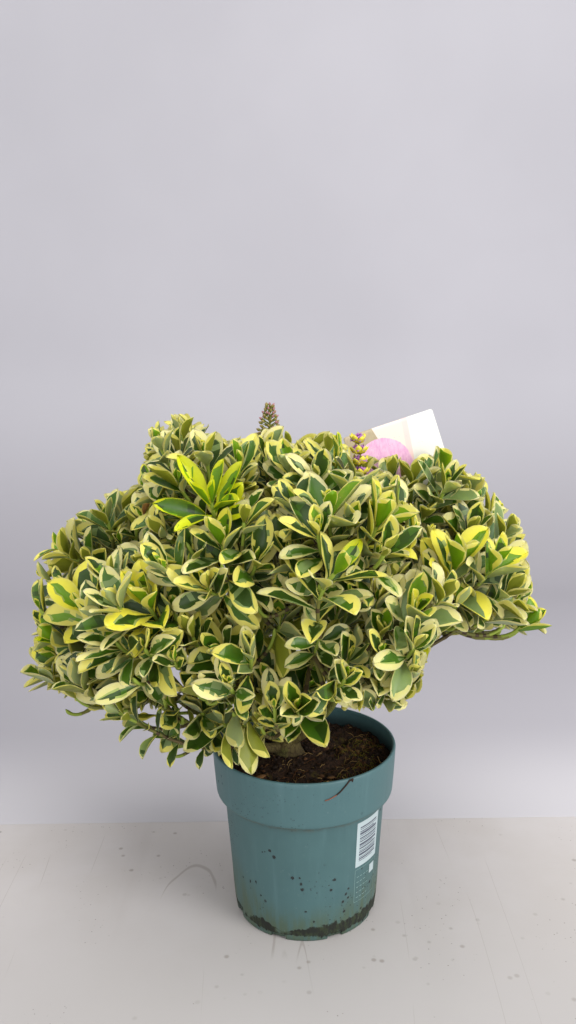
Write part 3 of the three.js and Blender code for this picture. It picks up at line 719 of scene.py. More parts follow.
# For each pair: how far back from the tip, its length, its opening from the shoot, its bend, its age.
LEAF_PAIRS = [
    (0.3, 10, 6, -0.25, 0.0),
    (1.2, 16, 13, -0.30, 0.12),
    (3.2, 24, 22, -0.2, 0.3),
    (6.5, 30, 33, 0.04, 0.5),
    (11.5, 33, 42, 0.2, 0.65),
    (18, 34, 48, 0.32, 0.8),
    (25.5, 33, 52, 0.4, 0.9),
    (33.5, 31, 55, 0.48, 1.0),
    (42, 29, 58, 0.52, 1.0),
    (51, 27, 61, 0.58, 1.0),
    (61, 25, 63, 0.6, 1.0),
    (72, 24, 63, 0.6, 1.0),
    (84, 23, 63, 0.6, 1.0),
    (97, 22, 63, 0.6, 1.0),
]
# Ways to try a leaf: share of its opening, turn about the shoot in degrees, share of its length.
LEAF_TRIES = [(1, 0, 1), (0.85, 16, 1), (0.85, -16, 1), (0.65, 0, 0.97), (0.6, 25, 0.95), (0.6, -25, 0.95),
              (0.85, 40, 0.92), (0.85, -40, 0.92), (0.4, 0, 0.88), (1.2, 8, 0.92), (0.7, 10, 0.76),
              (0.7, -30, 0.66), (0.5, 35, 0.58)]
STYLES = {  # size, youth, and the way that its leaves are marked
    "plain": (1.0, 0.0, "mixed"),
    "big": (1.16, 0.15, "mixed"),
    "bright": (1.04, 0.4, "mixed"),
    "lime": (1.3, 0.6, "lime"),
    "inner": (0.92, 0.0, "shade"),
    "pale": (0.9, 0.0, "pale"),
    "sprig": (0.62, 0.0, "green"),
    "broad": (1.25, 0.0, "green"),
    "sunny": (1.18, 0.42, "sunny"),
    "column": (0.78, 0.0, "pale"),
    "screen": (0.98, 0.0, "shade"),
}
# A column is a stem without a tip of its own, whose pairs begin so far down the table and so much nearer.
COLUMN_FIRST, COLUMN_SHIFT = 5, 13
FINE_LEAF_BACK = 40
FIRST_PAIR, LEAST_BEND = 0.1, 0.02
LIMB_OWNER, SHOOT_OWNER = -1, 101
# The room that a shoot keeps to limbs and the card, and a leaf to limbs, the card, its mass's box and its
# mass's borders.
SHOOT_ROOM, SHOOT_CARD_ROOM = 0.3, 2.5
LEAF_ROOM, LEAF_CARD_ROOM, LEAF_BOX_ROOM, LEAF_BORDER_ROOM = 0.4, 0.5, 3, 10
# How far a leaf looks round for limbs and for other leaves.
LIMB_SEARCH, LEAF_SEARCH = 22, 30
SEEDS = {"rule": 1, "between": 500, "leaves": 2000, "leaf_mesh": 40, "soil": 7, "blossom": 21}

Shoot = namedtuple("Shoot", "limb mass style pairs")
Leaf = namedtuple("Leaf", "root way across face length arch age marking mass fine")

shoots, leaves, tips = [], [], []
lines = Lines()
for limb in limbs.values():
    lines.add(limb.points, limb.radii, LIMB_OWNER)
lines.add(np.array([card["tie_foot"], card["foot"]]), np.array([1.1, 1.1]), LIMB_OWNER)


def shoot_to(tip, aim, mass, at):
    """One shoot from the mass's stem to a tip, or None where something is in its way."""
    start = mass.stem.curve.at(at)
    bend = tip - aim * 0.45 * np.linalg.norm(tip - start)
    limb = Limb(Curve(start, bend, tip), SHOOT_FOOT, SHOOT_TIP, 4)
    way = limb.points
    free = clear_of_pot(way) and clear_of_card(way, SHOOT_CARD_ROOM) and keeps_open(way[1:])
    return limb if free and lines.clear(way[1:], SHOOT_FOOT + SHOOT_ROOM) else None


def keep_shoot(limb, mass, style="plain"):
    lines.add(limb.points, limb.radii, SHOOT_OWNER + len(shoots))
    shoots.append(Shoot(limb, mass, style, []))
    tips.append(limb.points[-1])


def try_shoot(tip, aim, mass, places, style="plain"):
    """Keeps the first shoot to the tip that finds room, from one of the places on the mass's stem."""
    for at in places:
        limb = shoot_to(tip, aim, mass, at)
        if limb:
            keep_shoot(limb, mass, style)
            return True
    return False


def uprightness(height):
    """How much a shoot turns up: those low in the crown stand steeper."""
    return float(np.interp(height, [205, 300], [2.1, 0.8]))


def openness(height):
    """How far leaves open, as a share of what their pair does by itself: more in the light at the top."""
    return float(np.interp(height, [250, 335], [1.0, 1.24]))


def room_for_tip(tip, space):
    return not tips or np.linalg.norm(np.array(tips) - tip, axis=1).min() > space


# How much farther stems and shoots reach than the source's own, the space from their tips to others, and
# the room that the leaves of a tip need above it.
STEM_EXTRA, SHOOT_EXTRA = 8, 6
STEM_SPACE, SHOOT_SPACE = 15, 19
FRONT_TIP_ROOM, RULE_TIP_ROOM, FINE_TIP_ROOM = 14, 16, 15


def lowered(tip, room, step):
    """The tip, let down until its leaves have room under the crown's edge."""
    while not under_top(tip + room * UP):
        tip = tip - step * UP
    return tip


# Rosettes that make the front of the crown: their mass, place and style.
FRONT_ROSETTES = [
    ("top_left", -99, -48, 381, "plain"), ("top_left_back", -92, 23, 382, "plain"),
    ("top_left", -65, -64, 371, "plain"), ("top_left", -84, -70, 357, "plain"),
    ("top_left", -60, -92, 346, "lime"), ("top_middle", -26, -15, 368, "plain"),
    ("top_right", 26, -45, 374, "bright"), ("right_top", 84, -9, 350, "plain"),
    ("right_top", 108, -7, 356, "bright"), ("right_top", 129, 3, 338, "plain"),
    ("centre_high", 16, -102, 341, "big"), ("centre_high", 47, -104, 332, "sunny"),
    ("centre_high", 72, -96, 320, "bright"),
    ("right_upper", 150, -32, 314, "plain"), ("right_side", 130, -73, 296, "bright"),
    ("right_side", 104, -76, 299, "sunny"), ("right_front", 68, -112, 276, "big"),
    ("right_far_low", 163, -27, 238, "bright"), ("right_low", 65, -97, 229, "bright"),
    ("left_high", -53, -102, 321, "big"), ("left_high", -62, -118, 297, "plain"),
    ("left_front", -101, -110, 284, "sunny"), ("left_side", -154, -74, 272, "sunny"),
    ("left_side", -174, -56, 242, "bright"),
    ("left_far_low", -187, -25, 218, "bright"), ("left_shoulder", -180, -16, 300, "bright"),
    ("left_shoulder", -158, -20, 291, "plain"), ("left_shoulder", -146, -12, 322, "plain"),
    ("left_low", -142, -75, 233, "plain"), ("front_left", -35, -124, 253, "plain"),
    ("front_low", -21, -110, 212, "pale"), ("centre_high", -30, -112, 282, "plain"),
    ("front_left", -20, -98, 262, "plain"), ("centre_high", -10, -104, 312, "plain"),
    ("front_mid", 30, -100, 250, "plain"), ("front_mid", 36, -96, 226, "pale"),
    ("front_left", -48, -96, 224, "plain"), ("front_mid", -12, -66, 262, "inner"),
    ("front_left", -30, -62, 272, "inner"), ("centre_high", -16, -58, 290, "inner"),
    ("front_mid", 2, -56, 244, "inner"), ("front_mid", -8, -72, 236, "inner"),
    ("front_low", -10, -50, 222, "inner"),
    ("front_mid", 30, -62, 262, "inner"), ("right_front", 44, -66, 262, "inner"),
    ("back_centre", -18, 60, 262, "inner"), ("back_centre", 10, 64, 246, "inner"),
    ("back_centre", -4, 70, 282, "inner"), ("back_left_low", -34, 56, 232, "inner"),
    ("back_right_low", 30, 54, 226, "inner"), ("back_centre", 0, 62, 228, "inner"),
    ("centre_high", -14, -86, 274, "inner"), ("left_high", -17, -78, 260, "inner"),
    ("back_centre", -14, 86, 236, "inner"), ("back_centre", -8, 84, 214, "inner"),
    ("back_centre", -26, 84, 252, "inner"), ("back_centre", 6, 92, 242, "inner"),
    ("top_middle", -14, -22, 290, "inner"), ("top_middle", -20, 6, 280, "inner"),
    ("left_low", -97, -86, 209, "plain"), ("front_left", -68, -86, 208, "plain"),
    ("left_low", -86, -78, 192, "plain"), ("front_left", -50, -84, 198, "plain"),
    ("left_low", -112, -84, 222, "plain"),
]

# Long shoots that show by themselves: their mass, the limb and the place on it that they leave, or none
# where they carry on the mass's own stem, the places that they pass, their style and thickness.
LONG_SHOOTS = [
    ("front_mid", None, 1, [(8, -125, 276), (3, -128, 290), (20, -134, 310)], "big", 1.5),
    ("left_under", "left_low", 0.34, [(-66, -60, 157), (-84, -76, 164), (-106, -90, 188), (-128, -95, 204)],
     "sprig", 1.6),
    ("front_low", "front_mid", 0.2, [(-6, -46, 190), (1, -64, 207)], "broad", 1.6),
    ("front_low", "left_low", 0.25, [(-33, -40, 176), (-30, -60, 200)], "pale", 1.6),
]


def grow_front():
    for name, base, at, places, style, thickness in LONG_SHOOTS:
        start = limbs[base].curve.at(at) if base else by_name[name].centre
        curve = Curve(start, *map(np.array, places))
        keep_shoot(Limb(curve, thickness, SHOOT_TIP, 8), by_name[name], style)
    for name, x, y, z, style in FRONT_ROSETTES:
        mass = by_name[name]
        tip = lowered(np.array([x, y, z], float), FRONT_TIP_ROOM, 2)
        rise = uprightness(z) if style in ("plain", "pale") else 0.9
        aim = unit(mass.out + 0.4 * unit(tip - mass.centre) + rise * UP)
        try_shoot(tip, aim, mass, (0.45, 0.3, 0.6, 0.15), style)


def grow_by_rule(mass):
    """The source's own shoots, each a little longer because the true leaves are smaller."""
    draw = seeded(mass.number + SEEDS["rule"])
    further = mass.centre + STEM_EXTRA * mass.stem.curve.way(1)
    if mass.name == "front_mid":
        keep_shoot(mass.stem, mass, "column")
    elif room_for_tip(further, STEM_SPACE):
        longer = Curve(*mass.stem.curve.controls[:2], further)
        keep_shoot(Limb(longer, BOUGH_TIP_RADIUS, SHOOT_TIP, 5), mass)
    else:
        keep_shoot(mass.stem, mass, "bare")
    for i in range(1, 4):
        far = math.sqrt(i / 3)
        first_turn = i * GOLDEN_TURN + mass.azimuth
        spread = MASS_SPREAD * (0.9 + 0.2 * draw())
        for shift, pull in ((0, 1), (0.5, 0.9), (-0.5, 0.9), (0.2, 0.7), (0, 0.45)):
            side = around(first_turn + shift, mass.across, mass.over)
            tip = mass.centre + side * spread * far * pull - mass.out * MASS_BULGE * far
            aim = unit(mass.out + 0.6 * far * side + uprightness(tip[2]) * UP)
            tip = lowered(tip + SHOOT_EXTRA * aim, RULE_TIP_ROOM, 3)
            if not inside(tip, mass, 2) or not room_for_tip(tip, SHOOT_SPACE):
                continue
            if try_shoot(tip, aim, mass, [0.62 - 0.3 * far]):
                break


# A mass's dome: its height as on a ball of radius 1, and how far its middle lies behind the mass's centre.
DOME_HEIGHT, DOME_DEPTH = 1.3, 22


def grow_between(mass, space, count, ring, style, start):
    """Finer shoots over the mass's dome, wherever a rosette still has room."""
    draw = seeded(SEEDS["between"] + mass.number + int(ring))
    for i in range(count):
        lean = math.acos(1 - DOME_HEIGHT * (i + 0.5) / count)
        side = around(i * GOLDEN_TURN + start, mass.across, mass.over)
        out = around(lean, mass.out, side) * ring * (0.9 + 0.2 * draw())
        tip = mass.centre - DOME_DEPTH * mass.out + out
        foot = tip - 4 * UP
        if not (inside(tip, mass, -3) and room_for_tip(tip, space) and under_top(tip + FINE_TIP_ROOM * UP)
                and above_underside(foot) and clear_of_pot(foot) and within_reach(tip, mass, -5)):
            continue
        aim = unit(mass.out + 0.7 * math.sin(lean) * side + uprightness(tip[2]) * UP)
        try_shoot(tip, aim, mass, [0.15 + 0.4 * draw()], style)


class Grown:
    """The leaves so far, as flat tables that are quick to search."""

    def __init__(self, most):
        self.corners, self.middles = np.empty((most, 6, 3)), np.empty((most, 3))
        self.count = 0

    def add(self, corners):
        self.corners[self.count] = corners
        self.middles[self.count] = corners[1:5].mean(axis=0)
        self.count += 1

    def near(self, spot, reach):
        away = self.middles[:self.count] - spot
        return self.corners[:self.count][(away ** 2).sum(axis=1) < reach ** 2]


MOST_LEAVES = 9000
grown = Grown(MOST_LEAVES)


def leaf_fits(corners, owner, mass, free):
    middle = (corners[0] + corners[5]) / 2
    between = (corners[1:] + middle) / 2
    spots = np.concatenate([corners, between])
    if not free and not (above_underside(corners) and under_top(corners) and keeps_open(spots)
                         and within_reach(corners, mass, LEAF_BOX_ROOM)
                         and inside(corners, mass, -LEAF_BORDER_ROOM)):
        return False
    if not clear_of_pot(spots) or not clear_of_card(corners, LEAF_CARD_ROOM):
        return False
    triangles = corners[LEAF_FACES]
    keep = lines.near(middle, LIMB_SEARCH, owner)
    if run_through(lines.starts[keep], lines.ends[keep], triangles):
        return False
    if not lines.clear(spots[1:], LEAF_ROOM, keep):
        return False
    near = grown.near(corners[1:5].mean(axis=0), LEAF_SEARCH)
    if not len(near):
        return True
    own, theirs = corners[LEAF_LINES], near[:, LEAF_LINES].reshape(-1, 2, 3)
    return not (run_through(own[:, 0], own[:, 1], near[:, LEAF_FACES].reshape(-1, 3, 3))
                or run_through(theirs[:, 0], theirs[:, 1], triangles))


def lay_leaf(root, along, level, turn, lean, blade, curl, age, marking, mass, owner, fine, free):
    """Try a leaf in several ways. Its corners, or None."""
    for share_of_opening, shift, share_of_size in LEAF_TRIES:
        radial = turned(level, along, turn + math.radians(shift))
        across = np.cross(along, radial)
        angle = lean * share_of_opening
        way = around(angle, along, radial)
        face = along * math.sin(angle) - radial * math.cos(angle)
        length = blade * share_of_size
        corners = leaf_corners(root, way, across, face, length, curl)
        if leaf_fits(corners, owner, mass, free):
            leaves.append(Leaf(root, way, across, face, length, curl, age, marking, mass, fine))
            return corners
    return None


def grow_leaves(number, shoot):
    curve, mass = shoot.limb.curve, shoot.mass
    size_share, youth, marking = STYLES[shoot.style]
    spread = 1.25 if shoot.style in ("sprig", "lime") else size_share
    draw = seeded(SEEDS["leaves"] + number)
    length = curve.length()
    first_turn = draw() * math.pi
    free = shoot.style in ("sprig", "lime", "column", "screen") or number < len(LONG_SHOOTS)
    first, shift = (COLUMN_FIRST, COLUMN_SHIFT) if shoot.style == "column" else (0, 0)
    for step, (back, size, opening, arch, age) in enumerate(LEAF_PAIRS[first:]):
        share = 1 - (back - shift) * spread / length
        if share < FIRST_PAIR:
            return
        root, along = curve.at(share), curve.way(share)
        level = unit(np.cross(along, UP) if abs(along[2]) < 0.98 else np.array([1.0, 0, 0]))
        pair = []
        for side in (0, 1):
            turn = first_turn + step * math.pi / 2 + side * math.pi + (draw() - 0.5) * 0.5
            blade = size * size_share * (0.86 + 0.28 * draw())
            lean = math.radians(opening * openness(root[2]) + (draw() - 0.5) * 16)
            curl = arch + (draw() - 0.5) * 0.4
            curl = curl if abs(curl) > LEAST_BEND else LEAST_BEND
            fine = back < FINE_LEAF_BACK and shoot.style != "inner"
            pair.append(lay_leaf(root, along, level, turn, lean, blade, curl, max(age - youth, 0), marking,
                                 mass, SHOOT_OWNER + number, fine, free))
        for corners in pair:
            if corners is not None:
                grown.add(corners)
        shoot.pairs.append(share)


# Rounds of finer shoots: the space between tips in low and in high masses, how many are tried, how far out,
# their style and first turn.
ROUNDS = [(19, 21.5, 40, 47, "plain", 1.7), (17.5, 17.5, 24, 37, "plain", 0.9),
          (15, 15, 14, 25, "inner", 0.4)]
HIGH_MASS = 305

# Shoots deep in the crown that close the view through it: their mass and tip.
SCREENS = [
    ("left_high", (-17, -88, 262)), ("centre_high", (-18, -84, 284)), ("front_mid", (-7, -72, 238)),
    ("back_centre", (-18, 72, 236)), ("back_centre", (-4, 76, 220)), ("back_centre", (-26, 70, 252)),
    ("left_high", (-30, -74, 252)), ("centre_high", (-2, -80, 268)), ("left_low", (-74, -66, 192)),
    ("left_low", (-92, -70, 196)), ("front_left", (-58, -74, 186)), ("left_low", (-66, -54, 178)),
    ("left_low", (-106, -66, 206)), ("front_left", (-44, -70, 184)),
]


def grow_screens():
    for name, tip in SCREENS:
        mass = by_name[name]
        try_shoot(np.array(tip, float), unit(mass.out + UP), mass, (0.3, 0.6, 0.1, 0.45, 0.8), "screen")


# Leaves that stand by themselves: where they root, their tip, bend and marking.
LONE_LEAVES = [((-112, -62, 328), (-106, -68, 347), 0.5, "dry"),
               ((-177, -30, 292), (-197, -34, 303), 0.7, "thin")]


def grow_lone_leaves():
    """Each roots at the joint of a shoot that is nearest to its place."""
    joints = np.concatenate([shoot.limb.points[1:] for shoot in shoots])
    owners = [shoot.mass for shoot in shoots for _ in shoot.limb.points[1:]]
    for near, tip, arch, marking in LONE_LEAVES:
        place = np.linalg.norm(joints - near, axis=1).argmin()
        root = joints[place]
        length = np.linalg.norm(tip - root)
        way = (tip - root) / length
        face = unit(UP - way * way[2])
        across = np.cross(face, way)
        leaves.append(Leaf(root, way, across, face, length, arch, 1.0, marking, owners[place], True))
        grown.add(leaf_corners(root, way, across, face, length, arch))


grow_front()
for mass in masses:
    grow_by_rule(mass)
for low_space, high_space, *how in ROUNDS:
    for mass in masses:
        grow_between(mass, high_space if mass.centre[2] > HIGH_MASS else low_space, *how)
grow_screens()
grow_lone_leaves()
for number, shoot in enumerate(shoots):
    if shoot.style != "bare":
        grow_leaves(number, shoot)


# Leaf meshes: a top and a back that share their rim, both a little folded along the midrib

FULL_ROWS = np.array([0, 0.07, 0.17, 0.28, 0.40, 0.52, 0.635, 0.745, 0.85, 0.935, 1])
LIGHT_ROWS = np.array([0, 0.12, 0.30, 0.50, 0.70, 0.88, 1])
BREADTH_ROWS = [0, 0.05, 0.12, 0.22, 0.35, 0.48, 0.6, 0.7, 0.8, 0.88, 0.94, 0.98, 1]
BREADTHS = [0.12, 0.13, 0.2, 0.42, 0.74, 0.94, 1.0, 0.97, 0.86, 0.69, 0.47, 0.24, 0.06]
LEAF_THICKNESS = 0.5
LEAF_BREADTHS = {"lime": 0.66, "sunny": 1.2, "dry": 0.5, "thin": 0.55}
VEIN_SLANT = 0.06


class LeafPattern:
    """Faces of one leaf. Its top has six strips, its back four that are two rows long."""

    def __init__(self, rows):
        self.rows, last = rows, len(rows) - 1
        top = np.arange(len(rows) * 7).reshape(-1, 7)
        inner = np.arange(2, last, 2)
        back = top[:, [0, 1, 3, 5, 6]].copy()
        back[inner, 1:4] = top.size + np.arange(len(inner) * 3).reshape(-1, 3)
        self.back_rows = inner
        row, strip = (grid.ravel() for grid in np.meshgrid(np.arange(last), np.arange(6), indexing="ij"))
        self.top_quads = np.stack([top[row, strip], top[row, strip + 1], top[row + 1, strip + 1],
                                   top[row + 1, strip]], axis=1)
        self.top_strips, self.top_bands = strip, row
        self.fives, self.five_strips, self.back_quads, self.back_strips = [], [], [], []
        for low in range(0, last, 2):
            high = low + 2
            for strip in range(4):
                a, b = back[low, strip], back[low, strip + 1]
                c, d = back[high, strip + 1], back[high, strip]
                if strip == 0:
                    corners = [b, a, top[low + 1, 0], d, c]
                elif strip == 3:
                    corners = [b, a, d, c, top[low + 1, 6]]
                elif low == 0:
                    corners = [b, top[0, 2 if strip == 1 else 4], a, d, c]
                elif high == last:
                    corners = [b, a, d, top[last, 2 if strip == 1 else 4], c]
                else:
                    self.back_quads.append([b, a, d, c])
                    self.back_strips.append(strip)
                    continue
                self.fives.append(corners)
                self.five_strips.append(strip)
        self.fives, self.back_quads = np.array(self.fives), np.array(self.back_quads).reshape(-1, 4)
        self.five_strips = np.array(self.five_strips)
        self.back_strips = np.array(self.back_strips, int)
        self.points = top.size + 3 * len(inner)
        self.rim = np.zeros(self.points, bool)
        self.rim[top[:, [0, 6]].ravel()] = True


FULL_LEAF, LIGHT_LEAF = LeafPattern(FULL_ROWS), LeafPattern(LIGHT_ROWS)


def ragged(random, count, rows, rough, memory=0.35):
    """For each leaf and side, a wandering line along the rows."""
    steps = random.standard_normal((count, 2, rows)) * rough
    for row in range(1, rows):
        steps[..., row] += memory * steps[..., row - 1]
    return steps


def leaf_marks(some, pattern, random):
    """Shares of the half width where the green and the pale step beside it end, by leaf, side and row."""
    count, rows = len(some), pattern.rows
    kind = random.random(count)
    marking = np.array([leaf.marking for leaf in some])
    depth = np.select([kind < 0.22, kind < 0.36, kind < 0.40], [0.84, 0.28, 0.07], 0.6)
    depth = np.select([marking == "shade", marking == "green", marking == "pale", marking == "sunny"],
                      [0.74, 0.88, np.where(kind < 0.5, 0.45, 0.75), np.where(kind < 0.5, 0.34, 0.55)],
                      depth)
    stop = 0.78 + 0.16 * random.random((count, 2, 1)) + 0.06 * (depth[:, None, None] > 0.8)
    fade = np.clip((stop - rows) / 0.16, 0, 1) ** 0.5
    base = 1 - 0.3 * np.clip(1 - rows / 0.25, 0, 1)
    skew = 1 + 0.4 * (random.random((count, 2, 1)) - 0.5)
    rough = np.where(depth > 0.8, 0.05, 0.15)[:, None, None]
    dark = depth[:, None, None] * base * skew + ragged(random, count, len(rows), 1.0) * rough
    dark = np.clip(dark * fade, 0.025, 0.9)
    step = 0.04 + 0.16 * random.random((count, 2, 1)) + np.abs(ragged(random, count, len(rows), 0.1))
    pale = np.clip(dark + step * np.clip((1 - rows) * 4, 0, 1), dark + 0.015, 0.95)
    return dark, pale, stop


def leaf_mesh(some, seed, pattern, shape):
    """Adds many leaves at once to a shape, and gives the flags of their rims."""
    random = np.random.default_rng(seed)
    count, rows = len(some), pattern.rows

    def column(name):
        return np.array([getattr(leaf, name) for leaf in some])

    root, way, across, face = (column(name)[:, None, None] for name in ("root", "way", "across", "face"))
    length, arch, age = column("length"), column("arch")[:, None, None], column("age")
    dark, pale, stop = leaf_marks(some, pattern, random)
    breadth = np.array([LEAF_BREADTHS.get(leaf.marking, 1) for leaf in some])[:, None]
    width = LEAF_WIDTH * (0.84 + 0.3 * random.random((count, 1))) * breadth
    half = length[:, None] * width / 2 * np.interp(rows, BREADTH_ROWS, BREADTHS)
    twist = (random.random((count, 1, 1)) - 0.5) * 0.5
    closed = 1.5 * np.clip(0.25 - age, 0, 1)[:, None, None]
    fold = 0.16 + 0.62 * random.random((count, 1, 1)) ** 1.4 + closed
    cup = (random.random((count, 1, 1)) - 0.3) * 0.3
    wave = (random.random((count, 1, 1)) - 0.3) * 1.0
    phase = random.random((count, 1, 1)) * 6.3

    def surface(sideways, rows_used, half_used, side):
        """Points for shares of the half width, on the top (1) or the back (-1)."""
        size = np.abs(sideways)
        slant = VEIN_SLANT * (1 - size) * np.sin(math.pi * rows_used)[None, :, None]
        share = rows_used[None, :, None] - slant
        turn = (arch * share)[..., None]
        bend = way * np.sin(turn) - face * (1 - np.cos(turn))
        line = root + length[:, None, None, None] * bend / arch[..., None]
        normal = face * np.cos(turn) + way * np.sin(turn)
        roll = (twist * share)[..., None]
        over = across * np.cos(roll) + normal * np.sin(roll)
        normal = normal * np.cos(roll) - across * np.sin(roll)
        wide = half_used[..., None]
        lift = (fold * size + cup * size ** 2 + wave * size ** 2 * np.sin(9 * share + phase) / 8) * wide
        lift = lift + side * LEAF_THICKNESS / 2 * (1 - size ** 4) * np.minimum(wide, 1)
        crease = 0.3 if side > 0 else 0.4
        lift = lift - crease * np.clip(1 - size / 0.1, 0, 1) * np.minimum(wide / 4, 1)
        return line + over * (sideways * wide)[..., None] + normal * lift[..., None]

    zero, one = np.zeros((count, len(rows))), np.ones((count, len(rows)))
    top = np.stack([-one, -pale[:, 0], -dark[:, 0], zero, dark[:, 1], pale[:, 1], one], axis=-1)
    inner = pattern.back_rows
    reach = np.clip(pale[:, :, inner], 0.16, 0.94)
    back = np.stack([-reach[:, 0], zero[:, inner], reach[:, 1]], axis=-1)
    points = np.concatenate([surface(top, rows, half, 1).reshape(count, -1, 3),
                             surface(back, rows[inner], half[:, inner], -1).reshape(count, -1, 3)], axis=1)

    margin, step, green, other, back_margin, back_green = leaf_palette(some, age, random)
    run = ragged(random, count, len(rows) - 1, 1.0, 0.5)
    sides, bands = (pattern.top_strips > 2).astype(int), pattern.top_bands
    noise = run[:, sides, bands]
    margin, green = margin[:, None], green[:, None]
    inner_step = np.where(noise > 0.75, margin, np.where(noise > -0.45, step[:, None], green))
    heart = np.where(np.roll(noise, 3, axis=1) > 1.0, other[:, None], green)
    ended = rows[bands][None] > stop[:, :, 0][:, sides] - 0.02
    inner_step = np.where(ended, margin, inner_step)
    heart = np.where(ended & (noise > -0.8), margin, heart)
    strip = pattern.top_strips
    inside_margin = np.where(np.isin(strip, (1, 4)), inner_step, heart)
    top_finish = np.where(np.isin(strip, (0, 5)), margin, inside_margin)

    def back_finish(strips):
        return np.where(np.isin(strips, (0, 3)), back_margin[:, None], back_green[:, None]).ravel()

    offsets = (np.arange(count) * pattern.points)[:, None, None]
    tables = [(table[None] + offsets).reshape(-1, table.shape[1])
              for table in (pattern.top_quads, pattern.fives, pattern.back_quads)]
    finish = [top_finish.ravel(), back_finish(pattern.five_strips), back_finish(pattern.back_strips)]
    shape.add(points.reshape(-1, 3), tables, finish)
    return np.tile(pattern.rim, count)


PAINTED_LIGHT_SIDE = 50  # masses this far across have paler leaves: painted light for the right side, where the window light falls


def dealt(count, first, *rules):
    """The first finish for all, then each rule's finish where it holds."""
    numbers = np.full(count, LEAF_NUMBERS[first])
    for where, name in rules:
        numbers[where] = LEAF_NUMBERS[name]
    return numbers


def leaf_palette(some, age, random):
    """For each leaf the finish of its margin, step, green, second green, back's margin and back."""
    count = len(some)
    chance, lit, rear = random.random(count), random.random(count), random.random(count)
    marking = np.array([leaf.marking for leaf in some])
    lime, sunny, dry = marking == "lime", marking == "sunny", marking == "dry"
    shade = np.isin(marking, ("shade", "green"))
    # Painted light: leaves on the right, where the window light falls, are dealt paler finishes.
    paler_in_painted_light = np.array([leaf.mass.centre[0] > PAINTED_LIGHT_SIDE for leaf in some]) & ~lime & (age > 0.35)
    margin = dealt(
        count, "cream", (age < 0.5, "straw"), (age < 0.3, "yellow"), (shade & (chance < 0.5), "straw"),
        (lime, "lime"), (~lime & (age >= 0.5) & (chance < 0.35), "straw"),
        (~lime & (age >= 0.75) & (chance > 0.6), "old_cream"),
        (~lime & (age < 0.3) & (chance < 0.12), "lime"), (sunny, "straw"),
        (sunny & (chance < 0.8), "yellow"))
    margin[paler_in_painted_light & (margin == LEAF_NUMBERS["straw"])] = LEAF_NUMBERS["cream"]
    green = dealt(
        count, "deep_green", (lit < 0.4, "mid_green"), (age < 0.2, "vivid_green"),
        (lime & (chance < 0.6), "lime"), (~lime & (age < 0.5) & (lit < 0.3), "vivid_green"),
        (~lime & (age > 0.6) & (lit > 0.93), "grey_green"))
    other = dealt(count, "deep_green", (green == LEAF_NUMBERS["deep_green"], "mid_green"),
                  (~lime & (age > 0.35) & (rear > 0.4), "grey_green"))
    green[paler_in_painted_light & (lit > 0.74)] = LEAF_NUMBERS["grey_green"]
    step = dealt(count, "grey_green", (age < 0.3, "soft_green"), (chance > 0.8, "soft_green"),
                 (lime, "vivid_green"), (paler_in_painted_light & (chance > 0.55), "soft_green"))
    back_margin = dealt(count, "back_cream", ((age < 0.4) | (rear < 0.3), "straw"), (lime, "lime"))
    # Partly painted light: back_glow_olive stands in for light shining through the back.
    back_green = dealt(count, "back_sage", (rear < 0.55, "back_glow_olive"), ((age < 0.2) | lime, "vivid_green"))
    parts = [margin, step, green, other, back_margin, back_green]
    for part in parts:
        part[dry] = LEAF_NUMBERS["dry_brown"]
    return parts


REGIONS = {
    "leaves_left": ("left_low", "left_far_low", "left_under", "left_side", "left_shoulder"),
    "leaves_front": ("left_front", "left_high", "front_mid", "front_left", "front_low", "centre_high"),
    "leaves_top": ("top_left_back", "top_left", "top_middle", "top_right"),
    "leaves_top_right": ("right_top", "right_upper", "right_side", "back_top"),
    "leaves_right": ("right_low", "right_front", "right_far_low", "back_right", "back_right_low"),
    "leaves_back": ("back_centre", "back_right_high", "back_left_high"),
    "leaves_back_left": ("back_left", "back_left_low"),
}


def dress_leaves():
    for seed, (name, members) in enumerate(REGIONS.items()):
        shape, rims = Shape(), []
        for pattern, fine in ((FULL_LEAF, True), (LIGHT_LEAF, False)):
            some = [leaf for leaf in leaves if leaf.mass.name in members and leaf.fine == fine]
            rims.append(leaf_mesh(some, SEEDS["leaf_mesh"] + 2 * seed + fine, pattern, shape))
        shape.piece(name, leaf_finishes, "foliage", [f"foliage_{member}" for member in members],
                    rims=np.concatenate(rims))


dress_leaves()


# Twigs and bark

NODE_SPACING, TWIG_SIDES, TWIG_TIP = 3.2, 5, 0.35
# How far back from a tip a twig is young and olive, where its scars begin, and how long they are.
YOUNG_REACH, OLIVE_REACH, SCARS_FROM, SCAR_LENGTH = 22, 48, 26, 1.2
OLD_TWIG, OLIVE_TWIG, YOUNG_TWIG, TWIG_SCAR = range(4)


def dress_twigs():
    shape = Shape()
    for shoot in shoots:
        limb = shoot.limb
        length = limb.curve.length()
        count = max(int(length / NODE_SPACING), 6)
        shares = np.linspace(0, 1, count + 1)
        nodes = np.array(shoot.pairs) if shoot.pairs else np.linspace(0.3, 0.9, 5)
        away = np.abs(shares[:, None] - nodes[None]).min(axis=1) * length
        radii = limb.radius(shares) * (0.92 + 0.28 * np.exp(-(away / 1.3) ** 2))
        radii[-1] = TWIG_TIP
        ring = np.repeat(np.arange(count), TWIG_SIDES)
        back = (1 - shares[ring]) * length
        tint = np.where(back < YOUNG_REACH, YOUNG_TWIG, np.where(back < OLIVE_REACH, OLIVE_TWIG, OLD_TWIG))
        tint = np.where((away[ring] < SCAR_LENGTH) & (back > SCARS_FROM), TWIG_SCAR, tint)
        shape.tube(limb.curve.points(shares), radii, TWIG_SIDES, finish=tint)
    shape.piece("twigs", twig_finishes, "foliage", [f"foliage_{mass.name}" for mass in masses])


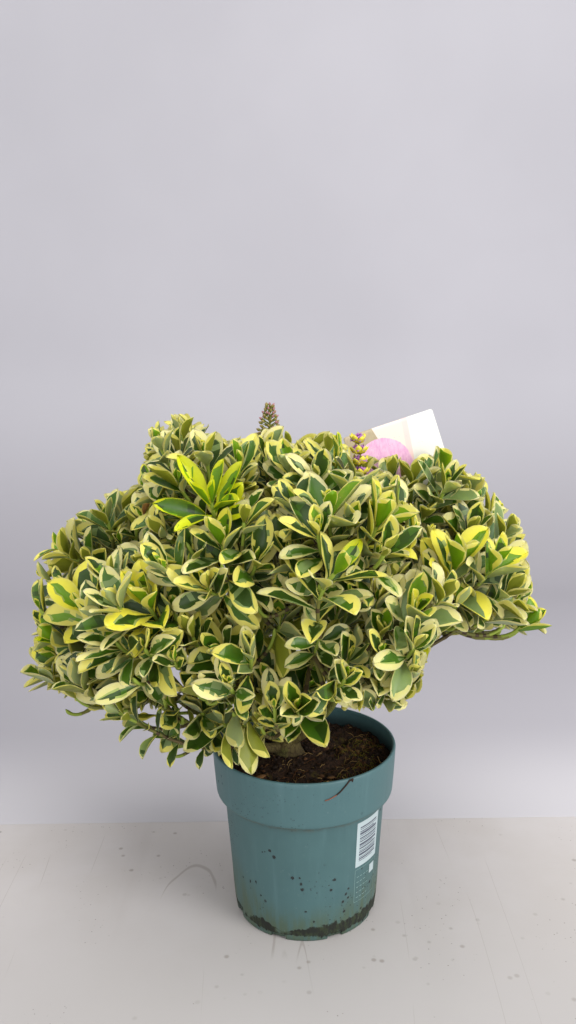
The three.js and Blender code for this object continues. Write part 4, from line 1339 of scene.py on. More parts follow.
def bark_relief(along, angle, seed, depth):
    """Ring scars, long ridges and unevenness on a limb of bark."""
    phase = seed * 1.37
    scar = (along / 9.0 + 0.2 * np.sin(seed)) % 1.0
    collar = np.exp(-((scar - 0.5) / 0.09) ** 2) * (0.6 + 0.4 * np.cos(2 * angle + phase))
    ridges = (0.5 * np.sin(5 * angle + 0.12 * along + phase)
              + 0.35 * np.sin(9 * angle - 0.2 * along + 2 * phase))
    lumps = np.sin(0.31 * along + phase) * np.cos(2 * angle + 0.4 * phase)
    return depth * (0.75 * collar + 0.45 * ridges + 0.5 * lumps)


BARK_STEP, TRUNK_SIDES, BOUGH_SIDES = 1.1, 40, 14


def dress_bark():
    shape = Shape()
    for seed, (name, limb) in enumerate(limbs.items()):
        length = limb.curve.length()
        count = int(length / BARK_STEP)
        sides = TRUNK_SIDES if name == "trunk" else BOUGH_SIDES
        shares = np.linspace(0, 1, count + 1)
        along, angle = np.meshgrid(shares * length, np.arange(sides) / sides * FULL_TURN, indexing="ij")
        radius = limb.radius(shares)[:, None]
        depth = np.clip(radius * 0.09, 0.12, 0.8)
        radii = radius + bark_relief(along, angle, seed, depth)
        if name == "trunk":
            flare = (TRUNK_RADIUS["foot"] - TRUNK_RADIUS["waist"]) * (1 - shares[:, None]) ** 4
            radii = radii + flare * (1 + 0.3 * np.cos(3 * angle))
        else:
            radii = radii * (1 + 0.3 * np.exp(-((along - limb.foot) / 5) ** 2))
        points, quads = rings_along(limb.curve.points(shares), radii, sides)
        tip_ring = np.arange(count * sides, (count + 1) * sides)[None]
        foot_ring = np.arange(sides)[None, ::-1]
        young = (np.repeat(limb.radius(shares[:-1]), sides) < 3.0).astype(int)
        shape.add(points, [quads, tip_ring, foot_ring], [young, 1, 0])
    names = ["trunk"] + [f"bough_{mass.name}" for mass in masses if mass.parent]
    shape.piece("bark", bark_finishes, "bark", names)


dress_twigs()
dress_bark()


# Pot: a rolled lip over a straight band, a narrow ledge and a tapering body on a notched foot

# Radius and height, up the outside and over the lip.
POT_OUTER = np.array([
    (55.4, 0), (56.3, 0.4), (56.8, 1.4), (57.2, 4.5), (57.9, 10), (58.7, 20), (59.7, 36), (60.9, 54),
    (62.1, 70), (63.1, 84), (63.9, 94), (64.2, 96.8), (64.35, 97.9), (64.8, 98.8), (65.6, 99.3),
    (67.0, 99.5), (68.6, 99.7), (69.5, 100.1), (70.1, 100.8), (70.4, 101.8), (70.6, 103.4), (70.9, 107),
    (71.6, 116), (72.2, 124.5), (72.7, 133), (72.9, 136), (72.5, 137), (71.8, 137.4), (70.9, 137.3),
    (70.4, 136.6), (70.3, 134.6)
])
POT_WALL, SLOT_HEIGHT, SLOT_DEPTH = 1.5, 4.5, 9
SLOT_AZIMUTHS = np.radians(247 + 45 * np.arange(8))
SLOT_HALF = 6 / 57


def smooth_line(knots, step):
    """Points every step or so along a curve that passes through the knots."""
    knots = np.asarray(knots, float)
    gaps = np.linalg.norm(np.diff(knots, axis=0), axis=1)
    ends = np.concatenate([[2 * knots[0] - knots[1]], knots, [2 * knots[-1] - knots[-2]]])
    spans = np.concatenate([gaps[:1], gaps, gaps[-1:]])
    ways = (ends[2:] - ends[:-2]) / (spans[1:] + spans[:-1])[:, None]
    line = []
    for low, high, leave, arrive, gap in zip(knots[:-1], knots[1:], ways[:-1], ways[1:], gaps):
        t = np.linspace(0, 1, max(int(gap / step), 1), endpoint=False)[:, None]
        line.append(low + (high - low) * t * t * (3 - 2 * t)
                    + gap * (leave * t * (1 - t) ** 2 - arrive * t * t * (1 - t)))
    return np.concatenate([*line, knots[-1:]])


def pot_radius(height):
    return np.interp(height, POT_OUTER[1:26, 1], POT_OUTER[1:26, 0])


def lathe(profile, angles):
    """Points of a profile turned about the vertical axis, and their quads."""
    radius, height = profile.T
    flat = np.stack([np.outer(radius, np.cos(angles)), np.outer(radius, np.sin(angles))], axis=-1)
    points = np.concatenate([flat, np.broadcast_to(height[:, None, None], (*flat.shape[:2], 1))], axis=-1)
    return points.reshape(-1, 3), ring_quads(len(profile), len(angles))


# Marks of dirt on the pot's side: azimuth in degrees, height and radius.
POT_MARKS = [
    (-116, 75.7, 1.2), (-113, 71.3, 1.6), (-120, 73.7, 0.7), (-122, 72.8, 0.7), (-100, 55.7, 1.5),
    (-95, 56, 1.0), (-94, 51.1, 1.3), (-93, 46.2, 1.4), (-70, 51.6, 1.6), (-60, 36.3, 1.2),
    (-58, 32.6, 1.1), (-136, 41.8, 1.5), (-130, 43.8, 1.2), (-136, 35.4, 0.8), (-145, 40.2, 0.9),
    (-91, 27, 1.0), (-85, 18.1, 1.1), (-126, 33.9, 0.9)
]


def pot_marks(paint, edge):
    """1 on the marks, which are a little ragged."""
    place, nearest = paint.place(), None
    for azimuth, height, radius in POT_MARKS:
        spot = pot_radius(height) * level_way(math.radians(azimuth)) + height * UP
        away = paint.vector("DISTANCE", place, tuple(spot * MM), "Value") * (1000.0 / radius)
        nearest = away if nearest is None else nearest.least(away)
    return 1 - (nearest + 3.0 * (edge - 0.5)).between(0.7, 1.0)


def inner_wall_shade_mask(x, y, z):
    """1 on the inside of the pot's wall, above the soil's skirt, where the pot holds painted shade."""
    out = (x * x + y * y) ** 0.5 * 1000.0
    return (1 - (out - z * 74.3).between(61.8, 62.2)) * (z * 1000.0).between(100.8, 101.6)


def pot_paint():
    paint = Paint("pot_plastic", Specular_IOR_Level=0.42)
    x, y, z = (paint.axis(name) for name in "XYZ")
    high = z * 1000.0
    mottle, grain = paint.noise(38, 4.0, 0.6), paint.noise(900, 2.0)
    drawn = paint.noise(150, 4.0, 0.6, at=paint.stretched(1, 1, 0.06))
    streaks = paint.noise(170, 4.0, 0.65, at=paint.stretched(1, 1, 0.14))
    tall = 18.0 + (x * 1000.0).size().between(20, 56) * 26.0 + paint.noise(26, 4.0, 0.65) * 24.0
    haze = (1 - (high / tall).between(0.3, 1.15)) * (0.35 + 0.65 * streaks.between(0.35, 0.6))
    edge = paint.noise(34, 5.0, 0.7)
    rag = paint.noise(260, 4.0, 0.75, at=paint.stretched(1, 1, 0.5))
    level = 8.0 + 9.0 * (edge - 0.5)
    reach = 2.2 + 5.2 * paint.noise(19, 3.0, 0.6).between(0.36, 0.66)
    ring = 1 - ((high - level).size() / reach + 2.0 * (rag - 0.5)).between(0.7, 1.0)
    ring = ring * paint.noise(31, 4.0, 0.7).between(0.36, 0.44)
    seam = high.between(93.5, 97.5) * (1 - high.between(100.6, 101.4))
    seam = seam * paint.noise(60, 4.0, 0.7).between(0.4, 0.62)
    small = (1 - paint.cells(330).between(0.1, 0.2)) * paint.noise(17, 3.0, 0.6).between(0.52, 0.6)
    large = (1 - paint.cells(105).between(0.09, 0.17)) * paint.noise(11, 2.0).between(0.5, 0.56)
    specks = small.most(large) * (1 - high.between(60, 150) * 0.75)
    specks = specks.most(pot_marks(paint, paint.noise(420, 4.0, 0.7)))
    dust = paint.noise(210, 4.0, 0.7).between(0.62, 0.8)
    base = paint.cover(
        paint.blend(mottle, (62, 92, 94), (73, 105, 106)),
        # Painted light: the band above the ledge is a lighter tone, standing in for the light that falls on
        # it.
        (high.between(99, 104) * 0.5, (75, 108, 112)),
        (drawn.between(0.5, 0.8) * 0.3, (92, 124, 128)),
        (haze * 0.74, (72, 84, 56)),
        (ring * 0.95, paint.blend(rag.between(0.45, 0.6), (24, 24, 18), (42, 50, 28))),
        (seam * 0.55, (84, 76, 54)),
        (specks * 0.9, (32, 30, 30)),
        (dust * 0.16, (176, 184, 178)),
        # Painted shade: the inside of the wall, from the soil up to just under the lip, is darkened.
        ((1 - high.between(124, 134)) * inner_wall_shade_mask(x, y, z) * 0.7, (16, 22, 22)))
    dirt = ring.most(specks)
    paint.feed(Base_Color=base, Roughness=0.46 + 0.1 * mottle + 0.35 * dirt)
    paint.raise_by(grain * 0.12 + dirt * 1.2 + 0.25 * mottle, 0.0005, 0.6)
    return paint.material


def turns_apart(turns, others):
    """How far each turn is from the nearest of the others."""
    return np.abs((turns[:, None] - others + math.pi) % FULL_TURN - math.pi).min(axis=1)


FOOT_RADIUS = 57.2


def dress_pot():
    outer = smooth_line(POT_OUTER, 1.6)
    slot_end = FOOT_RADIUS - SLOT_DEPTH
    foot = np.array([(0.02, 0), (30, 0), (slot_end - 0.5, 0), (slot_end, 0), (52, 0)])
    wall = POT_OUTER[3:24][::-1] - (POT_WALL, 0)
    wall[:, 1] += np.where((wall[:, 1] > 95) & (wall[:, 1] < 104), POT_WALL, 0)
    floor = np.array([(55.4, 1.6), (40, 1.5), (0.02, 1.5)])
    profile = np.concatenate([foot, outer, smooth_line(wall, 4), floor])
    edges = np.concatenate([SLOT_AZIMUTHS + side * (SLOT_HALF + nudge)
                            for side in (-1, 1) for nudge in (-0.004, 0.004)])
    even = np.radians(np.arange(0, 360, 2.0))
    angles = np.sort(np.concatenate([even[turns_apart(even, edges) > 0.012], edges % FULL_TURN]))
    points, quads = lathe(profile, angles)
    off = turns_apart(np.tile(angles, len(profile)), SLOT_AZIMUTHS)
    row = np.repeat(np.arange(len(profile)), len(angles))
    out = np.hypot(points[:, 0], points[:, 1])
    notch = (off < SLOT_HALF) & (out > slot_end - 0.2) & (row < len(foot) + len(outer) // 2)
    points[:, 2] = np.where(notch, np.maximum(points[:, 2], SLOT_HEIGHT), points[:, 2])
    shape = Shape()
    shape.add(points, quads)
    shape.piece("nursery_pot", [pot_paint()], "pot", ["pot"])


# Sticker: a pale printed field of plain stripes, and a faint frame below it

STICKER_TURN = (math.radians(-52.5), math.radians(-27.5))
PAPER_HEIGHTS, STRIPE_HEIGHTS, FRAME_HEIGHTS = (55.5, 93.4), (60.0, 89), (25, 53)
STRIPE_WIDTHS, STRIPE_GAPS = (0.5, 1.1, 0.5, 1.7, 0.8), (0.8, 0.6, 1.2)
PAPER, STRIPE, FAINT = range(3)
PAPER_LIFT, STRIPE_LIFT, MARK_LIFT = 0.12, 0.2, 0.14
FRAME_LINE, FRAME_SHARE = 0.35, 0.015


def print_paint(name, colour, rough):
    paint = Paint(name, Base_Color=tone(*colour), Specular_IOR_Level=0.4)
    grime = paint.noise(300, 4.0, 0.65)
    paint.feed(Roughness=rough + 0.2 * (grime - 0.5))
    paint.raise_by(grime, 0.00012, 0.5)
    return paint.material


def pot_patch(shape, turns, heights, lift, finish):
    """A patch that follows the pot's side, between lines of turn and height."""
    turn, height = np.meshgrid(turns, heights)
    radius = pot_radius(height) + lift
    points = np.stack([radius * np.cos(turn), radius * np.sin(turn), height], axis=-1).reshape(-1, 3)
    shape.add(points, sheet_quads(len(heights), len(turns)), finish)


def patch_between(shape, left, right, low, high, lift, finish):
    """The same for a share of the sticker's breadth and a span of heights."""
    breadth = STICKER_TURN[1] - STICKER_TURN[0]
    turns = STICKER_TURN[0] + breadth * np.linspace(left, right, max(int((right - left) * 18), 1) + 1)
    pot_patch(shape, turns, np.linspace(low, high, max(int((high - low) / 1.5), 1) + 1), lift, finish)


def dress_sticker():
    shape = Shape()
    patch_between(shape, 0, 1, *PAPER_HEIGHTS, PAPER_LIFT, PAPER)
    (height, end), count = STRIPE_HEIGHTS, 0
    while height < end:
        width = STRIPE_WIDTHS[count % 5]
        right = 0.88 if count % 7 else 0.74
        patch_between(shape, 0.12, right, height, height + width, STRIPE_LIFT, STRIPE)
        height += width + STRIPE_GAPS[count % 3]
        count += 1
    for low in FRAME_HEIGHTS:
        patch_between(shape, 0, 1, low, low + FRAME_LINE, PAPER_LIFT, FAINT)
    for left in (0, 0.985):
        patch_between(shape, left, left + FRAME_SHARE, *FRAME_HEIGHTS, PAPER_LIFT, FAINT)
    patch_between(shape, 0.66, 0.92, 43, 50.5, MARK_LIFT, PAPER)
    for row in range(5):
        for step in range(4 - row % 2):
            left = 0.08 + 0.14 * step
            patch_between(shape, left, left + 0.09, 28.5 + 4.4 * row, 29.2 + 4.4 * row, MARK_LIFT, FAINT)
    finishes = paints(print_paint, ("sticker_paper", (176, 190, 192), 0.5),
                      ("sticker_stripe", (72, 76, 92), 0.5), ("sticker_faint", (118, 146, 144), 0.55))
    shape.piece("pot_sticker", finishes, "pot")


# Soil, with crumbs, fibres, moss and straw

SOIL_RADIUS = 69.4


def soil_height(x, y):
    rough = np.sin(x * 0.21 + 1.3) * np.cos(y * 0.17 - 0.6) + 0.5 * np.sin(x * 0.43 - y * 0.39)
    level = np.clip((np.hypot(x - TRUNK_FOOT[0], y - TRUNK_FOOT[1]) - 17) / 20, 0, 1)
    fine = np.sin(x * 1.1 + 2 * np.sin(y * 0.7)) * np.sin(y * 1.3 + 1.7 * np.sin(x * 0.9))
    finer = np.sin(x * 2.9 + 3 * np.sin(y * 1.9)) * np.sin(y * 3.1 + 2 * np.sin(x * 2.3))
    return 127 + 2.2 * (rough - 1.5) * level + 0.55 * fine + 0.35 * finer


def soil_paint():
    paint = Paint("soil_peat", Specular_IOR_Level=0.15)
    lumps = paint.noise(330, 6.0, 0.7)
    # In the soil damp_and_shade is only the darker patches of damp peat.
    damp_and_shade, moss = paint.noise(28, 3.0).between(0.5, 0.75), paint.noise(55, 4.0, 0.65).between(0.58, 0.7)
    base = paint.cover(paint.blend(lumps.between(0.3, 0.75), (16, 11, 8), (66, 46, 32)),
                       (damp_and_shade * 0.5, (24, 17, 13)), (moss * 0.45, (74, 66, 24)))
    paint.feed(Base_Color=base, Roughness=0.8 + 0.18 * lumps)
    paint.raise_by(lumps + 0.5 * paint.cells(700), 0.0016, 1.0)
    return paint.material


def litter_paint(name, dark, light):
    paint = Paint(name, Specular_IOR_Level=0.2)
    grain = paint.noise(1400, 3.0)
    paint.feed(Base_Color=paint.blend(paint.noise(240, 3.0), dark, light), Roughness=0.7 + 0.25 * grain)
    paint.raise_by(grain, 0.0002, 0.8)
    return paint.material


LUMP_CORNERS = unit(np.array([(x, y, z) for g in [(1 + 5 ** 0.5) / 2] for x, y, z in (
    (-1, g, 0), (1, g, 0), (-1, -g, 0), (1, -g, 0), (0, -1, g), (0, 1, g), (0, -1, -g), (0, 1, -g),
    (g, 0, -1), (g, 0, 1), (-g, 0, -1), (-g, 0, 1))]))
LUMP_FACES = np.array([
    (0, 11, 5), (0, 5, 1), (0, 1, 7), (0, 7, 10), (0, 10, 11), (1, 5, 9), (5, 11, 4), (11, 10, 2),
    (10, 7, 6), (7, 1, 8), (3, 9, 4), (3, 4, 2), (3, 2, 6), (3, 6, 8), (3, 8, 9), (4, 9, 5), (2, 4, 11),
    (6, 2, 10), (8, 6, 7), (9, 8, 1)])


def soil_spot(random, reach=67.5):
    """A place on the soil off the trunk."""
    while True:
        out, turn = reach * math.sqrt(random.random()), random.random() * 2 * math.pi
        x, y = out * math.cos(turn), out * math.sin(turn)
        if math.hypot(x - TRUNK_FOOT[0], y - TRUNK_FOOT[1]) > 14:
            return np.array([x, y, float(soil_height(x, y))])


def strand(shape, random, start, length, radius, heading, lift, finish, sides=3):
    """A thin bent fibre that lies on the soil or stands a little proud of it."""
    bend = (random.random() - 0.5) * 1.5
    steps = np.linspace(0, 1, 6)
    turn = heading + bend * steps
    flat = np.cumsum(np.stack([np.cos(turn), np.sin(turn)], axis=1) * length / 6, axis=0) + start[:2]
    out = np.hypot(*flat.T)
    flat = flat * np.minimum(1, 69.0 / np.maximum(out, 1e-6))[:, None]
    rise = lift * np.sin(math.pi * steps) + radius * 0.6
    points = np.column_stack([flat, soil_height(flat[:, 0], flat[:, 1]) + rise])
    radii = radius * (1 - 0.5 * np.abs(2 * steps - 1) ** 2)
    shape.tube(points, radii, sides, UP, finish)


def dress_soil_bed():
    shape = Shape()
    rings = np.linspace(0.02, 1, 62) ** 0.8 * SOIL_RADIUS
    angles = np.radians(np.arange(0, 360, 2.5))
    points, quads = lathe(np.column_stack([rings, np.zeros_like(rings)]), angles)
    points[:, 2] = soil_height(points[:, 0], points[:, 1])
    skirt = lathe(np.array([(SOIL_RADIUS, 0), (68.9, 118), (68.4, 107), (68.1, 104.8), (62.2, 103.6),
                            (62.0, 97), (55.0, 1.9), (0.02, 1.85)]), angles)
    skirt[0][:len(angles)] = points[-len(angles):]
    shape.add(points, quads)
    shape.add(*skirt)
    shape.piece("soil_bed", [soil_paint()], "soil", ["soil"])


def strew_crumbs(random):
    crumbs = Shape()
    for _ in range(CRUMBS):
        spot = soil_spot(random, 68.5)
        size = 0.35 + 1.5 * random.random() ** 3
        spread = unit(random.standard_normal(3)) * 0.35 + 1
        corners = LUMP_CORNERS * spread * size * (0.8 + 0.4 * random.random((12, 1)))
        crumbs.add(corners + spot + (0, 0, size * 0.35), LUMP_FACES, int(random.random() < 0.25))
    finishes = paints(litter_paint, ("crumb_dark", (14, 10, 8), (48, 34, 24)),
                      ("crumb_brown", (52, 34, 20), (96, 66, 40)))
    crumbs.piece("soil_crumbs", finishes, "soil", flat=True)


# Where moss grows in tufts. Straws: place, length and heading. Dry leaves: the same, and how they tilt.
TUFTS = np.array([(48, -22), (38, 6), (30, -46), (-34, -52), (52, 16)])
STRAWS = [(-24, -63, 22, 0.5), (40, -50, 16, 2.6), (12, -60, 12, 1.1), (57, -30, 26, 1.2),
          (-50, -40, 14, 5.6)]
DRY_LEAVES = [(-44, -47, 17, 0.4, 0.3), (-30, -58, 12, 2.4, 0.2), (6, -60, 10, 1.0, 0.4),
              (24, -40, 9, 3.6, 0.3)]

FIBRE_BROWN, FIBRE_RUST, STRAW, MOSS, DEAD_LEAF = range(5)
CRUMBS, FIBRES, FIBRES_IN_TUFT = 1500, 330, 70


def strew_litter(random):
    litter = Shape()
    for _ in range(FIBRES):
        spot = soil_spot(random)
        strand(litter, random, spot, 4 + 9 * random.random() ** 1.5, 0.12 + 0.16 * random.random() ** 2,
               random.random() * 6.3, 0.3 + 1.8 * random.random() ** 2, int(random.random() * 3))
    for tuft in TUFTS:
        for _ in range(FIBRES_IN_TUFT):
            spot = np.append(tuft + random.standard_normal(2) * 6.5, 0)
            if np.hypot(*spot[:2]) < 66:
                strand(litter, random, spot, 3 + 4 * random.random(), 0.2, random.random() * 6.3,
                       0.8 + 1.6 * random.random(), MOSS if random.random() < 0.7 else FIBRE_RUST)
    for x, y, length, heading in STRAWS:
        strand(litter, random, np.array([x, y, 0.0]), length, 0.55, heading, 2.2, STRAW, 5)
    for x, y, length, heading, tilt in DRY_LEAVES:
        way = unit(level_way(heading) + tilt * UP)
        spot = np.array([x, y, float(soil_height(x, y)) + 0.8])
        petal_mesh(litter, spot, way, unit(np.cross(UP, way)), length, length * 0.45, DEAD_LEAF)
    finishes = paints(
        litter_paint, ("fibre_brown", (44, 28, 17), (88, 58, 34)),
        ("fibre_rust", (66, 40, 22), (112, 72, 36)), ("straw_pale", (104, 80, 46), (160, 132, 84)),
        ("moss_green", (66, 64, 20), (116, 104, 36)), ("leaf_dead", (64, 42, 24), (128, 92, 54)))
    litter.piece("soil_litter", finishes, "soil")


ROOT_PLACES = [(31, -58, 128.6), (33.5, -63.5, 134), (34, -66.6, 138), (32.2, -67.2, 136.4),
               (28.5, -68.0, 132.5), (23, -69.3, 127.6), (17, -70.7, 124.6), (13.5, -71.6, 123.8)]


def lay_root():
    """A thin root over the rim, which lies on the pot's side once it is over it."""
    root = Shape()
    line = smooth_line(ROOT_PLACES, 1.0)
    count = len(line)
    on_side = (line[:, 2] < 136.5) & (np.arange(count) >= count * 0.3)
    side = pot_radius(line[:, 2]) + 0.55
    line[:, :2] *= np.where(on_side, side / np.hypot(line[:, 0], line[:, 1]), 1)[:, None]
    tint = np.where(np.repeat(np.arange(count - 1), 6) > count * 0.75, 1, 0)
    root.tube(line, np.linspace(0.75, 0.4, count), 6, finish=tint)
    finishes = paints(litter_paint, ("root_dark", (34, 26, 22), (70, 54, 46)),
                      ("root_red", (104, 62, 48), (150, 104, 88)))
    root.piece("root_over_rim", finishes, "soil")


def dress_soil():
    dress_soil_bed()
    random = np.random.default_rng(SEEDS["soil"])
    strew_crumbs(random)
    strew_litter(random)
    lay_root()


# Label card in the crown, and its tie

def card_paint():
    paint = Paint("card_print", Specular_IOR_Level=0.45, Coat_Weight=0.15, Coat_Roughness=0.3)

    def along(axis):
        away = paint.vector("SUBTRACT", paint.place(), tuple(card["middle"] * MM))
        return paint.vector("DOT_PRODUCT", away, tuple(card[axis]), "Value") * 1000.0

    across, high = along("right"), along("up")
    speckle = paint.noise(900, 3.0, 0.7)
    grain = paint.noise(500, 4.0, 0.7, at=paint.stretched(1, 1, 0.3))
    slant = across - 0.12 * high
    ring = ((across + 12.5) * (across + 12.5) + (high + 3.0) * (high + 3.0)) ** 0.5 + 1.6 * (grain - 0.5)
    specks = (1 - paint.cells(420).between(0.07, 0.12)) * paint.noise(40, 2.0).between(0.5, 0.6)
    taupe = paint.blend(grain, (150, 134, 104), (190, 174, 140))
    pink = paint.blend(grain.between(0.35, 0.65), (214, 156, 194), (230, 184, 208))
    base = paint.cover(
        paint.blend(speckle, (221, 218, 208), (229, 226, 216)),
        (1 - across.between(11.0, 11.4), (232, 213, 199)),
        (slant.between(7.6, 8.0) * (1 - slant.between(12.2, 12.6)), (233, 200, 193)),
        (1 - (across + 0.25 * high).between(-6.2, -5.8), taupe),
        (1 - ring.between(22.6, 23.0), pink),
        (specks * 0.6, (96, 78, 70)))
    paint.feed(Base_Color=base, Roughness=0.42 + 0.12 * speckle)
    paint.raise_by(speckle, 0.0001, 0.4)
    return paint.material


def dress_card():
    wide, high = CARD["width"] / 2, CARD["height"] / 2
    corner, rows = 1.6, 22
    across = np.concatenate([[-wide, -wide + 0.5, -wide + corner], np.linspace(-wide + 4, wide - 4, 24),
                             [wide - corner, wide - 0.5, wide]])
    columns = len(across)
    total = rows * columns
    sides = []
    for side in (1, -1):
        for up_share in np.linspace(-1, 1, rows):
            for x in across:
                inset = max(abs(x) - (wide - corner), 0)
                y = up_share * (high - corner + math.sqrt(max(corner ** 2 - inset ** 2, 0)))
                curl = 1.5 * (x / wide) ** 2 - 0.9 * (y / high) ** 2 + 0.5 * (x / wide) * (y / high)
                sides.append(card["middle"] + card["right"] * x + card["up"] * y
                             + card["facing"] * (side * 0.2 + curl * 0.6 - 0.3))
    quads = sheet_quads(rows, columns)
    index = np.arange(total).reshape(rows, columns)
    rim = np.concatenate([index[0], index[1:, -1], index[-1, -2::-1], index[-2:0:-1, 0]])
    after = np.roll(rim, -1)
    edge = np.stack([rim, rim + total, after + total, after], axis=1)
    shape = Shape()
    shape.add(np.array(sides), [quads, quads[:, ::-1] + total, edge])
    shape.piece("label_card_sheet", [card_paint()], "card", ["label_card"])


def dress_tie():
    tie = Shape()
    start = card["tie_foot"]
    foot = card["foot"] + card["up"] * 4 - card["facing"] * 0.9
    line = smooth_line([start, start * 0.6 + foot * 0.4 + card["facing"], foot, foot + card["up"] * 5], 1.0)
    tie.tube(line, np.full(len(line), 0.75), 8)
    first = unit(start - card["hold"])
    second = np.cross(card["axis"], first)
    turns = np.linspace(0, FULL_TURN, 40)[:, None]
    loop = card["hold"] + (first * np.cos(turns) + second * np.sin(turns)) * card["ring"]
    tie.tube(loop, np.full(len(loop), 0.85), 8, card["axis"])
    tie.piece("card_tie", [print_paint("tie_plastic", (206, 210, 204), 0.4)], "card", ["label_card"])


# Blossom

CALYX, BUD_PINK, BUD_BROWN, BUD_PURPLE, VIOLET, PALE_VIOLET, BRACT, GREEN_BRACT = range(8)
BUD_SWELL = np.array([0.55, 0.95, 1.0, 0.85, 0.55, 0.08])
BUD_SIDES = 6


def bud_mesh(shape, root, way, length, radius, finish):
    """A bud: a round-ended body along way, with its calyx as the first rows."""
    rows = len(BUD_SWELL) - 1
    body = root + way * np.linspace(0, 1, rows + 1)[:, None] * length
    tint = np.where(np.repeat(np.arange(rows), BUD_SIDES) < 2, CALYX, finish)
    shape.tube(body, radius * BUD_SWELL, BUD_SIDES, np.array([0.3, 0.9, 0.2]), tint)


PETAL_CORNERS = [(0, 0, 0), (0.35, -0.5, 0.10), (0.35, 0.5, 0.10), (0.75, -0.48, 0.02), (0.75, 0.48, 0.02),
                 (1, 0, -0.08)]
PETAL_FACES = np.array([
    (0, 1, 2), (1, 3, 2), (2, 3, 4), (3, 5, 4), (0, 7, 6), (6, 7, 8), (7, 9, 8), (8, 9, 5), (0, 6, 1),
    (1, 6, 8), (1, 8, 3), (3, 8, 5), (0, 2, 7), (2, 4, 7), (4, 9, 7), (4, 5, 9)])
PETAL_THICKNESS = 0.22


def petal_mesh(shape, root, way, across, length, width, finish):
    face = np.cross(way, across)
    top = [root + way * a * length + across * b * width + face * c * length for a, b, c in PETAL_CORNERS]
    low = [point - face * PETAL_THICKNESS for point in top[1:5]]
    shape.add(np.array(top + low), PETAL_FACES, finish)


SPIKE_FOOT, SPIKE_HEIGHT, SPIKE_BUDS = np.array([-23.0, 4, 366]), 38, 92
CLUSTER_FOOT, CLUSTER_HEIGHT = np.array([45.0, -9, 350]), 30
CLUSTER_RINGS = ((3, 7), (11, 8), (19, 9), (27, 9))  # height and flowers
BRACTS_IN_RING, FLOWER_STALK = 7, 3.2


def grow_spike(shape, random):
    shape.tube(SPIKE_FOOT + UP * np.linspace(0, SPIKE_HEIGHT, 20)[:, None], np.linspace(1.1, 0.5, 20), 6)
    for number in range(SPIKE_BUDS):
        share = number / SPIKE_BUDS
        lean = math.radians(78 - 46 * share ** 2)
        way = unit(level_way(number * GOLDEN_TURN) * math.sin(lean) + UP * math.cos(lean))
        root = SPIKE_FOOT + UP * 35 * share ** 0.85
        stem = 9.2 * (1 - 0.64 * share) * (0.75 + 0.5 * random.random())
        line = root + way * np.linspace(0, stem, 3)[:, None]
        shape.tube(line, [0.35, 0.3, 0.3], 4)
        if share < 0.35 and random.random() < 0.6:
            finish = BUD_PURPLE
        else:
            finish = BUD_PINK if random.random() < 0.42 else BUD_BROWN
        bud_mesh(shape, line[-1] - 0.3 * way, way, 3.8 - 0.8 * share, 1.25 - 0.25 * share, finish)


def open_flower(shape, random, root, way):
    bud_mesh(shape, root, way, FLOWER_STALK, 0.5, VIOLET)
    over = unit(np.cross(way, UP))
    for petal in range(4):
        out = turned(over, way, petal * math.pi / 2 + random.random() * 0.3)
        petal_mesh(shape, root + way * FLOWER_STALK, unit(out + 0.35 * way), unit(np.cross(out, way)), 2.7,
                   2.1, VIOLET if petal % 2 else PALE_VIOLET)


def grow_cluster(shape, random):
    """Open flowers in rings, each ring over a collar of bracts."""
    shares = np.linspace(0, 1, 16)
    stalk = CLUSTER_FOOT + UP * np.linspace(0, CLUSTER_HEIGHT, 16)[:, None]
    stalk = stalk + np.array([-3, 0, 0]) * shares[:, None] ** 2
    shape.tube(stalk, np.linspace(1.0, 0.5, 16), 6)
    for ring, (height, count) in enumerate(CLUSTER_RINGS):
        lean = np.array([-0.1 * height, 0, 0])
        for number in range(count):
            radial = level_way(number * GOLDEN_TURN + ring)
            root = CLUSTER_FOOT + UP * (height + 2 * random.random()) + radial * 1.0 + lean
            open_flower(shape, random, root, unit(radial + 0.5 * UP))
        for number in range(BRACTS_IN_RING):
            radial = level_way(number * 0.9 + ring * 0.5)
            root = CLUSTER_FOOT + UP * (height - 2) + radial * 0.8 + lean
            way = unit(radial + (0.7 + 0.7 * random.random()) * UP)
            over = unit(np.cross(way, UP))
            petal_mesh(shape, root, way, over, 9.6, 5.0, BRACT)
            petal_mesh(shape, root + 0.4 * np.cross(over, way), way, over, 6.2, 2.0, GREEN_BRACT)


BLOSSOM_TONES = {
    "calyx_green": (122, 126, 44), "bud_pink": (160, 112, 114), "bud_brown": (138, 122, 68),
    "bud_purple": (134, 74, 128), "petal_violet": (164, 104, 172), "petal_pale": (196, 146, 198),
    "bract_yellow": (228, 214, 70), "bract_green": (120, 130, 40),
}


def dress_blossom():
    random = np.random.default_rng(SEEDS["blossom"])
    shape = Shape()
    grow_spike(shape, random)
    grow_cluster(shape, random)
    finishes = [twig_paint(name, colour, 900) for name, colour in BLOSSOM_TONES.items()]
    shape.piece("blossom", finishes, "foliage", ["foliage_top_middle", "foliage_top_right"])


dress_pot()
dress_sticker()
dress_soil()
dress_card()
dress_tie()
dress_blossom()


# Stage

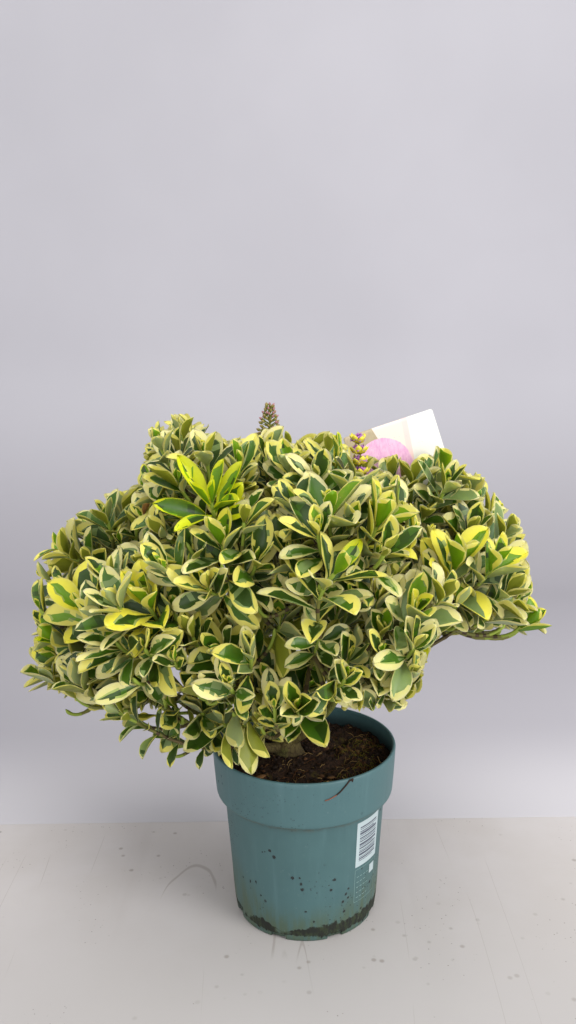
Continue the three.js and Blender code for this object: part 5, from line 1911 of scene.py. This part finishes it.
def floor_paint():
    paint = Paint("pale_floor", Roughness=0.8)
    patches = paint.noise(7, 5.0, 0.6).between(0.3, 0.7)
    drag = paint.noise(16, 4.0, 0.6, at=paint.stretched(1, 0.12, 1)).between(0.55, 0.75)
    near = 1 - paint.axis("Y").between(-0.16, 0.06)
    grime = (1 - paint.cells(60).between(0.06, 0.16)) * paint.noise(6, 2.0).between(0.48, 0.6)
    fine = (1 - paint.cells(210).between(0.07, 0.13)) * paint.noise(14, 2.0).between(0.52, 0.6)
    scratch = paint.noise(5, 2.0, 0.4, at=paint.stretched(3.2, 0.22, 1), warp=0.6)
    line = 1 - ((scratch - 0.5).size() / 0.003).between(0.3, 1.0)
    paint.feed(Base_Color=paint.cover(
        paint.blend(patches, (195, 190, 188), (188, 182, 178)),
        (drag * 0.4, (178, 172, 168)),
        (near * 0.9, (174, 170, 168)),
        (grime * 0.55, (128, 118, 108)),
        (fine * 0.7, (92, 80, 70)),
        (line * 0.4 * paint.noise(9, 1.0).between(0.5, 0.6), (132, 120, 110))))
    return paint.material


def wall_paint():
    paint = Paint("pale_wall", Roughness=0.85)
    cloudy, fibre = paint.noise(2.2, 3.0, 0.5).between(0.3, 0.7), paint.noise(1500, 2.0)
    paint.feed(Base_Color=paint.cover(
        paint.blend(cloudy, (191, 189, 194), (186, 184, 189)),
        # Painted shade: the backdrop is darker towards the bottom.
        (1 - paint.axis("Z").between(0.02, 0.4), (165, 162, 167)),
        ((1 - paint.axis("Y").between(0.15, 0.34)) * 0.9, (188, 185, 188)),
        (fibre * 0.12, (150, 148, 156))))
    return paint.material


STAGE_REACH = 2500
COVE_START, COVE_RADIUS, SHEET_HEIGHT = 900, 500, 0.8


def stage_piece(name, line, material):
    """A wide strip of stage that follows a line of places seen from the side."""
    points = [(x * MM, y * MM, z * MM) for y, z in line for x in (-STAGE_REACH, STAGE_REACH)]
    made = link(name, new_mesh(name, points, sheet_quads(len(line), 2)[:, ::-1].tolist(), [material]))


def set_stage():
    turns = np.linspace(0, math.pi / 2, 24)
    cove = [(COVE_START + COVE_RADIUS * math.sin(turn), SHEET_HEIGHT + COVE_RADIUS * (1 - math.cos(turn)))
            for turn in turns]
    stage_piece("floor", [(-STAGE_REACH, 0), (3000, 0)], floor_paint())
    stage_piece("backdrop", [(118, 0.1), (119, SHEET_HEIGHT), *cove, (1400, 3200)], wall_paint())


def add_light(name, place, towards, size, power, colour):
    data = bpy.data.lights.new(name, "AREA")
    data.shape, data.size, data.energy, data.color = "DISK", size, power, colour
    lamp = link(name, data)
    lamp.location = place
    lamp.rotation_euler = (Vector(towards) - Vector(place)).to_track_quat("-Z", "Y").to_euler()


def set_lights():
    add_light("sky_light", (0.1, -0.6, 2.0), (0, 0, 0.2), 1.5, 18.4, (1.0, 0.99, 0.97))
    add_light("window_light", (1.5, -1.2, 1.0), (0.04, 0, 0.28), 1.2, 31, (0.99, 0.99, 1.0))
    add_light("room_light", (-0.5, -2.0, 0.8), (0, 0, 0.2), 1.6, 11.6, (0.99, 0.99, 1.0))
    world = bpy.data.worlds.new("soft_room")
    world.use_nodes = True
    background = world.node_tree.nodes["Background"].inputs
    background["Color"].default_value = (0.96, 0.97, 1.0, 1)
    background["Strength"].default_value = 0.8
    bpy.context.scene.world = world
    bpy.context.scene.view_settings.view_transform = "Standard"


set_stage()
set_lights()
